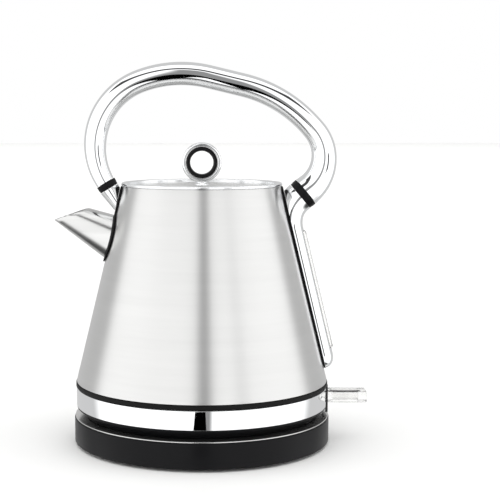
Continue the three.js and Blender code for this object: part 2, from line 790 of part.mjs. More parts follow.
piece(kettle, 'heat_diffuser', heatDiffuser(), castAluminium);
piece(kettle, 'heating_element', heatingElement(), castAluminium);
piece(kettle, 'control_housing', controlHousing(), blackPlastic);
piece(kettle, 'socket_live_pin', socketContact(livePin), contactBrass);
piece(kettle, 'socket_neutral_ring', socketContact(neutralRing), contactBrass);
piece(kettle, 'socket_earth_ring', socketContact(earthRing), contactBrass);
[-1, 1].forEach((side, i) => {
  const place = [0, side * discPlace, controlTop - 2 + gap];
  piece(kettle, `bimetal_disc_${i + 1}`, bimetalDisc(), contactBrass, place);
});
const steamTubeFoot = controlTop - gap;
const steamTubeTop = rearScrewZ - screwHeadRadius - runningGap;
const steamTube = tubeRing(steamTubeRadius - 0.8, steamTubeRadius, steamTubeFoot, steamTubeTop, smallRound);
piece(kettle, 'steam_tube', steamTube, brushedSteel, [steamTubePlace, 0, 0]);
piece(kettle, 'steam_bimetal', steamBimetal(), contactBrass);

// ---- Kettle body: switch, seen at the rear of the band ----------------------------------
const leverTop = coneFoot - leverTopDrop;
const leverFoot = leverTop - leverThickness;
const pivot = [bandRadius - pivotInset, (leverTop + leverFoot) / 2];
const armEnd = pivot[0] - leverArm;
const slotWidth = leverWidth + 2 * runningGap;
const leverSlot = block([armEnd - 2, bandRadius + 6], [-slotWidth / 2, slotWidth / 2],
  [leverFoot - leverSlotBelow, leverTop + 1]);
const innerRing = bandRadius - bandThickness - gap;

function switchLever() {
  const paddle = [-leverWidth / 2, leverWidth / 2];
  const well = [paddle[0] + 1.4, paddle[1] - 1.4];
  const arm = [-leverArmWidth / 2, leverArmWidth / 2];
  const end = bandRadius + leverReach;
  const hub = leverThickness / 2 + 0.2;
  return block([pivot[0] + hub, end], paddle, [leverFoot, leverTop])
    .add(block([armEnd, pivot[0] + hub + 1], arm, [leverFoot + 1.5, leverTop - 1.5]))
    .add(crossBar(hub, arm, pivot))
    .subtract(block([bandRadius + 4, end - 6], well, [leverFoot - 1, leverTop - 1.4]))
    .subtract(crossBar(pivotRadius + gap, [-20, 20], pivot));
}

// Rocks on the control: its tongue lies under the inner end of the switch lever.
function tripLever() {
  const [x, z] = trunnion;
  const tongueTop = leverFoot + 1.5 - 0.4;
  return crossBar(3, [-3, 3], trunnion)
    .add(block([x, armEnd - 6], [-3, 3], [z - 2, z + 1.5]))
    .add(block([armEnd - 9, armEnd - 5], [-3, 3], [tongueTop - 2, z + 1.5]))
    .add(block([armEnd - 6, armEnd + tongueReach], [-3, 3], [tongueTop - 2, tongueTop]))
    .subtract(crossBar(trunnionRadius + gap, [-8, 8], trunnion));
}

function switchBezel() {
  const sector = block([0, bandRadius + 9], [-bezelHalfWidth, bezelHalfWidth], [-9, coneFoot]);
  return tubeRing(innerRing + gap, bandRadius + bezelProud, 2, bandTop - gap, bigRound)
    .intersect(sector)
    .subtract(leverSlot);
}

const lampPlace = [armEnd + 1, leverArmWidth / 2 + 5];
function indicatorLamp() {
  const geometry = turned([[0, -5], [2.2, -5], [2.2, 3.5], [1.4, 4.6], [0, 5]], smallRound);
  return solid(geometry.rotateY(Math.PI / 2).translate(lampPlace[0], lampPlace[1], pivot[1]));
}

piece(kettle, 'switch_lever', switchLever(), clearPlastic);
piece(kettle, 'lever_pivot_pin', crossBar(pivotRadius, [-11.8, 11.8], pivot), screwSteel);
piece(kettle, 'trip_lever', tripLever(), blackPlastic);
piece(kettle, 'trip_pivot_pin', crossBar(trunnionRadius, [-6, 6], trunnion), screwSteel);
piece(kettle, 'switch_bezel', switchBezel(), blackPlastic);
piece(kettle, 'indicator_lamp', indicatorLamp(), lampAmber);

// ---- Kettle body: band, gasket and moulded underbody ------------------------------------
function bandGasket() {
  const [low, high] = [bandTop, coneFoot - gap];
  const outer = bodyRadius + gasketProud;
  return turnedSolid([
    [neckRadius + gap, low],
    [outer - 0.7, low],
    [outer, low + 0.8],
    [outer, high - 0.8],
    [outer - 0.7, high],
    [neckRadius + gap, high],
  ], bigRound);
}

function chromeBand() {
  const top = bandTop - gap;
  const wide = bezelHalfWidth + gap;
  return turnedSolid([
    [bandRadius - bandThickness, bandFoot + gap],
    [bandRadius, bandFoot + gap],
    [bandRadius, top],
    [neckRadius + 0.8, top],
    [neckRadius + 0.8, top - bandThickness],
    [bandRadius - bandThickness, top - bandThickness],
  ], bigRound).subtract(block([0, bandRadius + 9], [-wide, wide], [-9, coneFoot]));
}

function underbody() {
  const wallTop = bandTop - gap - bandThickness - gap;
  const clear = domeRadius + 2;
  const step = domeRimRadius + 1.5;
  const hole = barrelRadius + gap;
  let body = turnedSolid([
    [hole, stepTwo],
    [step, stepTwo],
    [step, stepOne],
    [clear, stepOne],
    [clear, 0],
    [skirtRadius - 1, 0],
    [skirtRadius + 1.2, 0.9],
    [bandRadius - 0.4, skirtHeight - 1.2],
    [bandRadius, skirtHeight - 0.5],
    [bandRadius, skirtHeight],
    [innerRing, skirtHeight],
    [innerRing, wallTop],
    [neckRadius + gap, wallTop],
    [neckRadius + gap, skirtHeight + plasticWall],
    [skirtRadius - 0.8, plasticWall],
    [clear + plasticWall, plasticWall],
    [clear + plasticWall, stepOne + plasticWall],
    [step + plasticWall, stepOne + plasticWall],
    [step + plasticWall, stepTwo + plasticWall],
    [hole, stepTwo + plasticWall],
  ], bigRound);
  for (const spot of underbodyScrews) {
    body = body.add(standing(screwHeadRadius + 1.5, 1, neckFoot - gap, spot));
    body = body.subtract(standing(screwHeadRadius + gap, -1, screwHead + 1, spot));
    body = body.subtract(standing(screwRadius + gap, 0, neckFoot + 1, spot));
  }
  for (const side of [-1, 1]) {
    const ear = side > 0 ? [9, 12] : [-12, -9];
    const reach = [pivot[0] - 3.5, pivot[0] + 3.5];
    body = body.add(block(reach, ear, [1, pivot[1] + 3.5]));
  }
  const cradle = [lampPlace[1] - 3, lampPlace[1] + 3];
  const lampBore = turned([[0, -20], [2.5, -20], [2.5, 20], [0, 20]], smallRound).rotateY(Math.PI / 2);
  body = body.add(block([lampPlace[0] - 2, lampPlace[0] + 1], cradle, [1, pivot[1]]));
  body = body.subtract(solid(lampBore.translate(lampPlace[0], lampPlace[1], pivot[1])));
  body = body.subtract(crossBar(pivotRadius + gap, [-14, 14], pivot));
  const bezelBed = bezelHalfWidth + gap;
  const sector = block([0, bandRadius + 9], [-bezelBed, bezelBed], [-9, coneFoot]);
  body = body.subtract(tubeRing(innerRing, bandRadius + 2, 1, skirtHeight + 1, bigRound).intersect(sector));
  return body.subtract(block([neckRadius - 3, bandRadius + 6], [-slotWidth / 2, slotWidth / 2],
    [leverFoot - leverSlotBelow, leverTop + 1]));
}

piece(kettle, 'band_gasket', bandGasket(), blackRubber);
piece(kettle, 'chrome_band', chromeBand(), polishedChrome);
piece(kettle, 'underbody', underbody(), blackPlastic);
underbodyScrews.forEach(([x, y], i) => {
  piece(kettle, `underbody_screw_${i + 1}`, screw(neckFoot + 3), screwSteel, [x, y, 1]);
});

// ---- Handle: hoop, collars and brackets -------------------------------------------------
// The hoop is arcs and a straight stretch, whose length brings its rear end over the rear bracket.
function hoopPath() {
  const goal = rimRadius + rearOverhang;
  const lay = (straight) => {
    const path = new THREE.CurvePath();
    const at = new THREE.Vector3(-rimRadius - hoopOverhang, 0, rimTop - 0.1);
    let heading = radians(hoopStartAngle);
    const addLine = (length) => {
      const way = new THREE.Vector3(Math.cos(heading), 0, Math.sin(heading));
      const next = at.clone().addScaledVector(way, length);
      path.add(new THREE.LineCurve3(at.clone(), next));
      at.copy(next);
    };
    const addArc = ({ radius, turn }) => {
      const arc = new ArcXZ(at.clone(), heading, radius, radians(turn));
      path.add(arc);
      at.copy(arc.getPoint(1));
      heading -= radians(turn);
    };
    addArc(hoopFront);
    addArc(hoopCrown);
    const slope = heading;
    if (straight > 0) addLine(straight);
    addArc(hoopRear);
    addArc(hoopElbow);
    addLine(hoopTail);
    return { path, end: at, heading, slope };
  };
  const bare = lay(0);
  return lay((goal - bare.end.x) / Math.cos(bare.slope));
}
const hoop = hoopPath();
const hoopStart = [-rimRadius - hoopOverhang, rimTop - 0.1];
const frontWay = [-Math.cos(radians(hoopStartAngle)), -Math.sin(radians(hoopStartAngle))];
const hoopEnd = [hoop.end.x, hoop.end.z];
const rearWay = [Math.cos(hoop.heading), Math.sin(hoop.heading)];
const along = (from, way, d) => [from[0] + d * way[0], from[1] + d * way[1]];

function handleTube() {
  const section = circleSection(1, hoopWallShare, 12);
  return taperedSweep(hoop.path, 32, section, (t) => {
    const atFront = Math.max(0, 1 - t / 0.22) ** 2;
    const atRear = Math.max(0, (t - 0.78) / 0.22) ** 2;
    const radius = hoopTopRadius + (hoopFrontRadius - hoopTopRadius) * atFront
      + (hoopRearRadius - hoopTopRadius) * atRear;
    return [radius, radius];
  });
}

// A collar with the spigot that enters the tube.
function collar(radius, length, spigot, end, way) {
  const from = along(end, way, gap);
  const to = along(end, way, gap + length);
  const tip = along(end, way, -4);
  return taperedBar([radius, radius], from, to, midRound)
    .add(taperedBar([spigot, spigot], tip, along(end, way, gap + 1), smallRound));
}

function frontBracket() {
  const start = along(hoopStart, frontWay, frontCollarLength + 2 * gap);
  const end = along(start, frontWay, 32);
  return taperedBar([frontCollarRadius, frontCollarRadius - 5], start, end, midRound)
    .subtract(coneSolid(saddleFace, 0, rimTop + 40))
    .subtract(screwBar(-1, frontScrewZ, screwRadius + gap, 40, coneRadiusAt(frontScrewZ) + 5.5));
}

// Sweeps from the rear collar into a D-shaped spine that runs down the wall.
const spineLow = coneFoot + spineBottom;
const wallPoint = (z) => new THREE.Vector3(coneRadiusAt(z), 0, z);
const downWall = new THREE.Vector3(Math.sin(coneAngle), 0, -Math.cos(coneAngle));
function rearBracket() {
  const start = along(hoopEnd, rearWay, rearCollarLength + 2 * gap);
  const first = along(start, rearWay, 9);
  const spineHead = wallPoint(coneFoot + spineTop);
  const before = spineHead.clone().addScaledVector(downWall, -10);
  const path = new THREE.CurvePath();
  const turnIn = new THREE.CubicBezierCurve3(
    new THREE.Vector3(start[0], 0, start[1]),
    new THREE.Vector3(first[0], 0, first[1]),
    before,
    spineHead,
  );
  const spine = new THREE.LineCurve3(spineHead, wallPoint(spineLow));
  path.add(turnIn);
  path.add(spine);
  const share = turnIn.getLength() / path.getLength();
  const roundEnd = spineDepth / path.getLength();
  const section = circleSection(1, 0, 16);
  const body = taperedSweep(path, 24, section, (t) => {
    const blend = THREE.MathUtils.smoothstep(t, 0, share);
    const depth = THREE.MathUtils.lerp(hoopRearRadius, spineDepth, blend);
    const width = THREE.MathUtils.lerp(hoopRearRadius, spineWidth / 2, blend);
    const left = Math.min(1, (1 - t) / roundEnd);
    const round = 0.35 + 0.65 * Math.sqrt(1 - (1 - left) ** 2);
    return [depth * round, width * round];
  });
  return body
    .subtract(coneSolid(saddleFace, 0, rimTop + 40))
    .subtract(rearBlock([0, spineDepth + 9], gaugeWidth + 2 * gap, gaugeLow - gap, gaugeHigh + gap))
    .subtract(screwBar(1, rearScrewZ, screwRadius + gap, 40, coneRadiusAt(rearScrewZ) + 8.5));
}

function rearBracketSeal() {
  const top = rimTop - rimHeight - 2 * gap;
  const outline = roundedOutline(spineWidth / 2 - 0.4, spineLow, top, 5);
  const sheet = panel(outline, [mouthRadius - 10, bodyRadius + 10]);
  let body = coneSkin(gap, gap + sealThickness).intersect(sheet);
  for (const height of portHeights) body = body.subtract(rearBar(portRadius + gap, [-4, 4], height));
  return body.subtract(screwBar(1, rearScrewZ, screwRadius + gap, 40, 90));
}

// Clear level gauge: a hollow strip in the spine, joined to the water by two ports.
function waterGauge() {
  const outer = [saddleFace, spineDepth + gaugeProud];
  const inner = [outer[0] + gaugeWall, outer[1] - gaugeWall];
  const end = 2.5;
  let body = rearBlock(outer, gaugeWidth, gaugeLow, gaugeHigh);
  for (const height of portHeights) {
    body = body.add(rearBar(portRadius, [-steelWall - 0.6, outer[0] + 0.5], height));
  }
  body = body.subtract(rearBlock(inner, gaugeWidth - 2 * gaugeWall, gaugeLow + end, gaugeHigh - end));
  for (const height of portHeights) {
    body = body.subtract(rearBar(portRadius - 1.2, [-6, (inner[0] + inner[1]) / 2], height));
  }
  return body;
}

// A pan-head screw along X: the head is inside the chamber, side is -1 at the front and 1 at the rear.
function handleScrew(side, z, length) {
  const seat = coneRadiusAt(z + screwHeadRadius) - wallAcross - gap;
  return screwBar(side, z, screwHeadRadius, seat - screwHead, seat)
    .add(screwBar(side, z, screwRadius, seat - 1, coneRadiusAt(z) + length));
}

const rearCollarRadius = hoopRearRadius;
piece(kettle, 'handle_tube', handleTube(), polishedChrome);
const frontCollar = collar(frontCollarRadius, frontCollarLength, 4.6, hoopStart, frontWay);
piece(kettle, 'front_collar', frontCollar, blackPlastic);
const rearCollar = collar(rearCollarRadius, rearCollarLength, 7.6, hoopEnd, rearWay);
piece(kettle, 'rear_collar', rearCollar, blackPlastic);
piece(kettle, 'front_bracket', frontBracket(), polishedChrome);
piece(kettle, 'rear_bracket', rearBracket(), polishedChrome);
piece(kettle, 'rear_bracket_seal', rearBracketSeal(), blackRubber);
piece(kettle, 'water_gauge', waterGauge(), clearPlastic);
piece(kettle, 'handle_screw_front', handleScrew(-1, frontScrewZ, 5), screwSteel);
piece(kettle, 'handle_screw_rear', handleScrew(1, rearScrewZ, 8), screwSteel);

// ---- Lid, in its own frame: z = 0 is the lid's upper face -------------------------------
const plugTop = -lidSheet - gap;
const plugDeck = 1.1;
const plugSeat = plugTop - plugDeck;
const discEdge = lidSeatRadius - gap;
const plugRadius = mouthRadius - 0.8;
const plugFlange = discEdge - lidSheet - gap;
const stemHeight = 2.45;
const knobCentre = stemHeight + knobRadius;
const screwHole = rod(screwRadius + gap, -20, stemHeight + 1.5, smallRound);

function lidCap() {
  return turnedSolid([
    [0, -lidSheet],
    [discEdge - lidSheet, -lidSheet],
    [discEdge - lidSheet, -lidEdge],
    [discEdge, -lidEdge],
    [discEdge, -0.4],
    [discEdge - 0.4, 0],
    [0, 0],
  ], bigRound).subtract(screwHole);
}

function lidPlug() {
  return turnedSolid([
    [0, plugSeat],
    [plugRadius - plugWall, plugSeat],
    [plugRadius - plugWall, plugSeat - plugSkirt + 1.5],
    [plugRadius, plugSeat - plugSkirt + 1.5],
    [plugRadius, plugSeat],
    [plugFlange, plugSeat],
    [plugFlange, plugTop],
    [0, plugTop],
  ], bigRound).subtract(screwHole);
}

function lidGasket() {
  return tubeRing(plugRadius + gap, plugFlange, -lidEdge, plugSeat - gap, bigRound);
}

// Ring knob on a short flared stem, in one piece.
function lidKnob() {
  const half = knobWidth / 2;
  const ring = turned([
    [knobBore, -half],
    [knobRadius - 1, -half],
    [knobRadius, -half + 1],
    [knobRadius, half - 1],
    [knobRadius - 1, half],
    [knobBore, half],
  ], midRound).rotateX(Math.PI / 2).translate(0, 0, knobCentre);
  const stem = turnedSolid([
    [0, gap],
    [stemRadius + 1.1, gap],
    [stemRadius + 0.9, 0.9],
    [stemRadius, 1.6],
    [stemRadius, stemHeight + 1.9],
    [0, stemHeight + 1.9],
  ], smallRound);
  return solid(ring).add(stem).subtract(screwHole);
}

function knobInsert() {
  const half = insertWidth / 2;
  const outer = knobBore - gap;
  const ring = turned([
    [insertBore, -half + 0.5],
    [insertBore + 0.5, -half],
    [outer, -half],
    [outer, half],
    [insertBore + 0.5, half],
    [insertBore, half - 0.5],
  ], midRound);
  return solid(ring.rotateX(Math.PI / 2).translate(0, 0, knobCentre));
}

function knobScrew() {
  const seat = plugSeat - gap;
  return rod(screwHeadRadius, seat - screwHead, seat, smallRound)
    .add(rod(screwRadius, seat - 1, stemHeight + 1.5 - gap, smallRound));
}

piece(lid, 'lid_cap', lidCap(), polishedChrome);
piece(lid, 'lid_plug', lidPlug(), brushedSteel);
piece(lid, 'lid_gasket', lidGasket(), greySilicone);
piece(lid, 'lid_knob', lidKnob(), polishedChrome);
piece(lid, 'knob_insert', knobInsert(), blackPlastic);
piece(lid, 'knob_screw', knobScrew(), screwSteel);

export default object;
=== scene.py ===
"""Looks of a conical steel electric kettle on its power base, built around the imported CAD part."""

import math

import bmesh
import bpy
import numpy as np
from mathutils import Matrix, Vector


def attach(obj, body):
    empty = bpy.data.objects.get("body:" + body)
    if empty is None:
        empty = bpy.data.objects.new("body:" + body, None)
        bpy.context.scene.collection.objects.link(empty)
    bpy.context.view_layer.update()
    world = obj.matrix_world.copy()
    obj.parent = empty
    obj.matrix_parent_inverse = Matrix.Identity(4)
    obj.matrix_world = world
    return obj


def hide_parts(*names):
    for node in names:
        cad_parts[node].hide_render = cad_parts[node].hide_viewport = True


bl_info = {
    "name": "Conical Steel Kettle",
    "version": (1, 0, 0),
    "blender": (4, 5, 0),
    "location": "3D View > Sidebar > Kettle",
    "description": "Builds a steel electric kettle with hoop handle, power base, finishes and studio",
    "category": "Object",
}

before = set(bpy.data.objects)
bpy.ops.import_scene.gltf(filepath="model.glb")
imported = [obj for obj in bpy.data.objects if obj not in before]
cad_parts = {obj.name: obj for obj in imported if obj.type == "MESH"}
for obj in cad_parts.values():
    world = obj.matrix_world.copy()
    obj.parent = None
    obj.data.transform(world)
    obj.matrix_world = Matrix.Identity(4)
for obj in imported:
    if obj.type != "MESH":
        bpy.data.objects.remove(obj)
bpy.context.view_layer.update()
MM = 0.001
TAU = 2 * math.pi

# ---- Levels and radii shared by the pieces, in millimetres above the table -------------------
GAP = 0.3
SEAT = 20.3  # kettle's lowest face
CONE_FOOT = SEAT + 23.4
RIM_TOP = CONE_FOOT + 138.7
BODY_R = 88.0
RIM_R = 54.4
SLOPE = (BODY_R - RIM_R) / (RIM_TOP - CONE_FOOT)
LEAN = math.atan(SLOPE)
LID_TOP = RIM_TOP - 2.5
TOWER_TOP = 40.5
LEVER_TOP = CONE_FOOT - 8.0
LEVER_FOOT = LEVER_TOP - 7.9
PIVOT = (80.5, (LEVER_TOP + LEVER_FOOT) / 2)
FOOT_CIRCLE = 74.0
COVER_SCREW_CIRCLE = 64.0
SADDLE = 1.6  # outer face of the seals above the wall


# ---- Colours and materials --------------------------------------------------------------------
def linear(hex_colour):
    """An sRGB hex string as linear red, green, blue and alpha."""
    channels = [int(hex_colour[i : i + 2], 16) / 255 for i in (0, 2, 4)]
    return tuple(c / 12.92 if c <= 0.04045 else ((c + 0.055) / 1.055) ** 2.4 for c in channels) + (1.0,)


def node(tree, kind, inputs=None, links=None, **settings):
    """Adds a node, sets its properties and inputs, and links sources into its inputs."""
    made = tree.nodes.new(kind)
    for key, value in settings.items():
        setattr(made, key, value)
    for key, value in (inputs or {}).items():
        made.inputs[key].default_value = value
    for key, source in (links or {}).items():
        tree.links.new(source, made.inputs[key])
    return made


def material(name, inputs):
    """A new material with a Principled shader, and its tree."""
    made = bpy.data.materials.new(name)
    made.use_nodes = True
    shader = made.node_tree.nodes["Principled BSDF"]
    for key, value in inputs.items():
        shader.inputs[key].default_value = value
    return made, made.node_tree, shader


def stretched_noise(tree, coordinates, scale, detail=2.0):
    """Noise whose grain has its own frequency along each axis, per metre."""
    mapping = node(tree, "ShaderNodeMapping", {"Scale": scale}, {"Vector": coordinates})
    return node(tree, "ShaderNodeTexNoise", {"Scale": 1.0, "Detail": detail, "Roughness": 0.6},
                {"Vector": mapping.outputs["Vector"]}).outputs["Fac"]


def spread(tree, value, low, high):
    """Maps noise around its middle to a range."""
    return node(tree, "ShaderNodeMapRange",
                {"From Min": 0.3, "From Max": 0.7, "To Min": low, "To Max": high},
                {"Value": value}).outputs["Result"]


def bump(tree, shader, height, strength, distance):
    made = node(tree, "ShaderNodeBump", {"Strength": strength, "Distance": distance}, {"Height": height})
    tree.links.new(made.outputs["Normal"], shader.inputs["Normal"])


def radius_coordinates(tree, coordinates):
    """Object coordinates turned into (x, y, distance from the upright axis)."""
    split = node(tree, "ShaderNodeSeparateXYZ", links={"Vector": coordinates})
    flat = node(tree, "ShaderNodeCombineXYZ", links={"X": split.outputs["X"], "Y": split.outputs["Y"]})
    away = node(tree, "ShaderNodeVectorMath", links={0: flat.outputs["Vector"]}, operation="LENGTH")
    return node(tree, "ShaderNodeCombineXYZ",
                links={"X": split.outputs["X"], "Y": split.outputs["Y"],
                       "Z": away.outputs["Value"]}).outputs[0]


def tint(tree, shader, value, dark, light):
    """Base colour that drifts between two colours with the value."""
    ramp = node(tree, "ShaderNodeMix", data_type="RGBA", links={"Factor": value})
    ramp.inputs["A"].default_value = dark
    ramp.inputs["B"].default_value = light
    tree.links.new(ramp.outputs["Result"], shader.inputs["Base Color"])


def brushed_steel(name, line_mm, dark, light, roughness, around=True, rings=False):
    """Stainless sheet brushed with a fine belt: parallel hairlines smear the reflection across them."""
    made, tree, shader = material(name, {"Metallic": 1.0, "Anisotropic": 0.75,
                                         "Anisotropic Rotation": 0.25})
    place = node(tree, "ShaderNodeTexCoord").outputs["Object"]
    if rings:
        place = radius_coordinates(tree, place)
    # Two hairline frequencies: fine lines, and the broader drift that a worn belt leaves.
    fine = stretched_noise(tree, place, (14.0, 14.0, 1000 / line_mm), 3.0)
    broad = stretched_noise(tree, place, (9.0, 9.0, 1000 / (line_mm * 9)), 2.0)
    tree.links.new(spread(tree, fine, *roughness), shader.inputs["Roughness"])
    tint(tree, shader, spread(tree, broad, 0.0, 1.0), linear(dark), linear(light))
    bump(tree, shader, fine, 0.1, 0.00002)
    if around:
        tangent = node(tree, "ShaderNodeTangent", direction_type="RADIAL", axis="Z")
        tree.links.new(tangent.outputs["Tangent"], shader.inputs["Tangent"])
    return made


def polished(name, colour, roughness, ripple_mm, metallic=1.0):
    """Plated metal buffed to a mirror; a faint slow ripple from the buffing wheel stays in it."""
    made, tree, shader = material(name, {"Metallic": metallic, "Base Color": linear(colour)})
    place = node(tree, "ShaderNodeTexCoord").outputs["Object"]
    haze = stretched_noise(tree, place, (1000 / ripple_mm,) * 3, 2.0)
    tree.links.new(spread(tree, haze, roughness * 0.7, roughness * 1.3), shader.inputs["Roughness"])
    bump(tree, shader, haze, 0.04, 0.00002)
    return made


def moulded(name, colour, roughness, grain_mm, relief, specular=0.5, grain_um=40):
    """Injection-moulded plastic or rubber: fine grain from the eroded mould breaks up the highlight."""
    made, tree, shader = material(name, {"Base Color": linear(colour), "Specular IOR Level": specular})
    place = node(tree, "ShaderNodeTexCoord").outputs["Object"]
    grain = stretched_noise(tree, place, (1000 / grain_mm,) * 3, 3.0)
    wear = stretched_noise(tree, place, (60.0,) * 3, 2.0)
    tree.links.new(spread(tree, wear, roughness * 0.9, roughness * 1.1), shader.inputs["Roughness"])
    bump(tree, shader, grain, relief, grain_um * 1e-6)
    return made


def clear(name, colour, roughness, ior):
    """Clear moulded plastic: you see through it, with bright edges and a slight flow ripple."""
    made, tree, shader = material(name, {
        "Base Color": linear(colour), "Transmission Weight": 1.0, "IOR": ior, "Roughness": roughness})
    place = node(tree, "ShaderNodeTexCoord").outputs["Object"]
    ripple = stretched_noise(tree, place, (90.0, 160.0, 160.0), 1.0)
    bump(tree, shader, ripple, 0.05, 0.00005)
    return made


def make_materials(finishes):
    """Every finish of the kettle, by short name."""
    steel, chrome = finishes.steel_hex, finishes.chrome_hex
    plastic = finishes.plastic_hex
    line = finishes.brush_line * 1000
    return {
        # Body sheet: satin, hairlines run level round the cone.
        "body_steel": brushed_steel("brushed_stainless_body", line, "D8D8D7", steel, (0.29, 0.33)),
        # Spout: the same sheet, rolled to a cone of its own; lines run across it.
        "spout_steel": brushed_steel("brushed_stainless_spout", line, "CFCFCE", steel, (0.16, 0.2),
                                     around=False),
        # Lid and base trim: spun against the belt, so the hairlines are rings.
        "ring_steel": brushed_steel("ring_brushed_stainless", line, "CFCFCE", steel, (0.2, 0.26),
                                    rings=True),
        # Inside of the chamber: mill finish, duller than outside.
        "inner_steel": brushed_steel("mill_finish_stainless", line * 2, "A9A9A8", "C4C4C3", (0.34, 0.46)),
        "chrome": polished("polished_chrome_plate", chrome, 0.035, 14.0),
        # Rim of the mouth: the same plate over a less finely buffed ring.
        "satin_chrome": polished("satin_chrome_plate", chrome, 0.2, 14.0),
        # Satin black ABS of the skirt, collars, base housing, tower and filter frame.
        "plastic": moulded("satin_black_abs", plastic, 0.34, 0.5, 0.12, 0.12),
        # Spark-eroded texture on the base dome, coarse enough to see.
        "dome_plastic": moulded("textured_black_polypropylene", "111214", 0.42,
                                finishes.dome_grain * 1000,
                                0.55, 0.3, grain_um=160),
        "gloss_plastic": moulded("gloss_black_abs", "0B0B0C", 0.12, 2.0, 0.03, 0.35),
        "rubber": moulded("black_silicone_rubber", "0E0E0E", 0.55, 0.6, 0.2, 0.15),
        "silicone": moulded("grey_translucent_silicone", "B4B7B9", 0.5, 0.8, 0.12, 0.4),
        "clear": clear("clear_polycarbonate", "F7F7F6", 0.03, 1.58),
        "aluminium": polished("cast_aluminium", "B4B6B8", 0.42, 3.0),
        "brass": polished("pressed_brass_strip", "C9A24A", 0.28, 6.0),
        "zinc": polished("zinc_plated_steel", "A6A8AB", 0.27, 2.0),
        "lamp": moulded("amber_neon_envelope", "F08A3C", 0.15, 4.0, 0.02),
    }


# ---- Outlines and meshes, in millimetres ------------------------------------------------------
def rounded(corners, closed=True, step=math.radians(15)):
    """A line through (r, z, fillet) corners, with each fillet drawn as an arc."""
    count = len(corners)
    line = []
    for i, corner in enumerate(corners):
        here = np.array(corner[:2], float)
        fillet = corner[2] if len(corner) > 2 else 0.0
        inner = closed or 0 < i < count - 1
        if fillet <= 0 or not inner:
            line.append(tuple(here))
            continue
        to_last = np.array(corners[i - 1][:2], float) - here
        to_next = np.array(corners[(i + 1) % count][:2], float) - here
        a, b = to_last / np.linalg.norm(to_last), to_next / np.linalg.norm(to_next)
        angle = math.acos(float(np.clip(a @ b, -1, 1)))
        reach = min(fillet / math.tan(angle / 2), 0.49 * np.linalg.norm(to_last),
                    0.49 * np.linalg.norm(to_next))
        radius = reach * math.tan(angle / 2)
        centre = here + (a + b) / np.linalg.norm(a + b) * (radius / math.sin(angle / 2))
        start, end = here + a * reach, here + b * reach
        turn = math.pi - angle
        steps = max(2, math.ceil(turn / step))
        for k in range(steps + 1):
            t = k / steps
            ray = (start - centre) * math.sin((1 - t) * turn) + (end - centre) * math.sin(t * turn)
            line.append(tuple(centre + ray / math.sin(turn)))
    return line


def grid_faces(rows, columns, wrap_rows, wrap_columns, offset=0):
    faces = []
    for i in range(rows if wrap_rows else rows - 1):
        for j in range(columns if wrap_columns else columns - 1):
            a, b = i * columns + j, i * columns + (j + 1) % columns
            c, d = ((i + 1) % rows) * columns + (j + 1) % columns, ((i + 1) % rows) * columns + j
            faces.append([offset + a, offset + b, offset + c, offset + d])
    return faces


def piece(name, points, faces, finish, sharp=32.0):
    """A smooth-shaded mesh object with its place in its vertices, doubles merged, faces outwards."""
    mesh = bpy.data.meshes.new(name)
    mesh.from_pydata([tuple(MM * c for c in p) for p in points], [], faces)
    made = bpy.data.objects.new(name, mesh)
    bpy.context.scene.collection.objects.link(made)
    tidy_mesh(made, sharp)
    made.data.materials.clear()
    if finish:
        made.data.materials.append(finish)
    return made


def tidy_mesh(made, sharp=32.0, weld=0.002):
    """Merges doubles, turns the faces outwards and marks creases."""
    shape = bmesh.new()
    shape.from_mesh(made.data)
    bmesh.ops.remove_doubles(shape, verts=shape.verts, dist=weld * MM)
    bmesh.ops.dissolve_degenerate(shape, dist=1e-7, edges=shape.edges)
    bmesh.ops.recalc_face_normals(shape, faces=shape.faces)
    for face in shape.faces:
        face.smooth = True
    for edge in shape.edges:
        edge.smooth = len(edge.link_faces) != 2 or edge.calc_face_angle(0.0) < math.radians(sharp)
    shape.to_mesh(made.data)
    shape.free()


def lathe(name, outline, finish, sides=160, span=(0.0, TAU), sharp=32.0, place=(0, 0)):
    """Turns a closed (r, z) outline about the upright axis, wholly or over a span."""
    whole = abs(span[1] - span[0] - TAU) < 1e-6
    steps = sides if whole else max(4, round(sides * (span[1] - span[0]) / TAU))
    columns = steps if whole else steps + 1
    angles = [span[0] + (span[1] - span[0]) * j / steps for j in range(columns)]
    points = [(place[0] + r * math.cos(a), place[1] + r * math.sin(a), z) for r,
              z in outline for a in angles]
    faces = grid_faces(len(outline), columns, True, whole)
    if not whole:
        faces.append([i * columns for i in range(len(outline))])
        faces.append([i * columns + columns - 1 for i in reversed(range(len(outline)))])
    return piece(name, points, faces, finish, sharp)


def rod(name, radius, low, high, sides, place=(0, 0)):
    """A plain upright cylinder, used as a cutter or a boss."""
    return lathe(name, [(0, low), (radius, low), (radius, high), (0, high)], None, sides, place=place)


def circle_spots(count, start, circle):
    """Evenly spaced places on a circle, from a first angle in degrees."""
    angles = [math.radians(start + 360 / count * k) for k in range(count)]
    return [(circle * math.cos(a), circle * math.sin(a)) for a in angles]


def turned_along(name, outline, origin, way, finish, sides=64, sharp=32.0):
    """Turns a closed (r, d) outline about an axis in the XZ plane, d measured from the origin."""
    across = (-way[1], way[0])
    points = []
    for r, d in outline:
        for j in range(sides):
            a = TAU * j / sides
            u, v = r * math.cos(a), r * math.sin(a)
            points.append((origin[0] + way[0] * d + across[0] * u, v,
                           origin[1] + way[1] * d + across[1] * u))
    return piece(name, points, grid_faces(len(outline), sides, True, True), finish, sharp)


def box(name, lows, highs, finish, sharp=32.0):
    points = [(x, y, z) for x in (lows[0], highs[0]) for y in (lows[1], highs[1]) for z in (lows[2],
        highs[2])]
    faces = [[0, 1, 3, 2], [4, 6, 7, 5], [0, 4, 5, 1], [2, 3, 7, 6], [0, 2, 6, 4], [1, 5, 7, 3]]
    return piece(name, points, faces, finish, sharp)


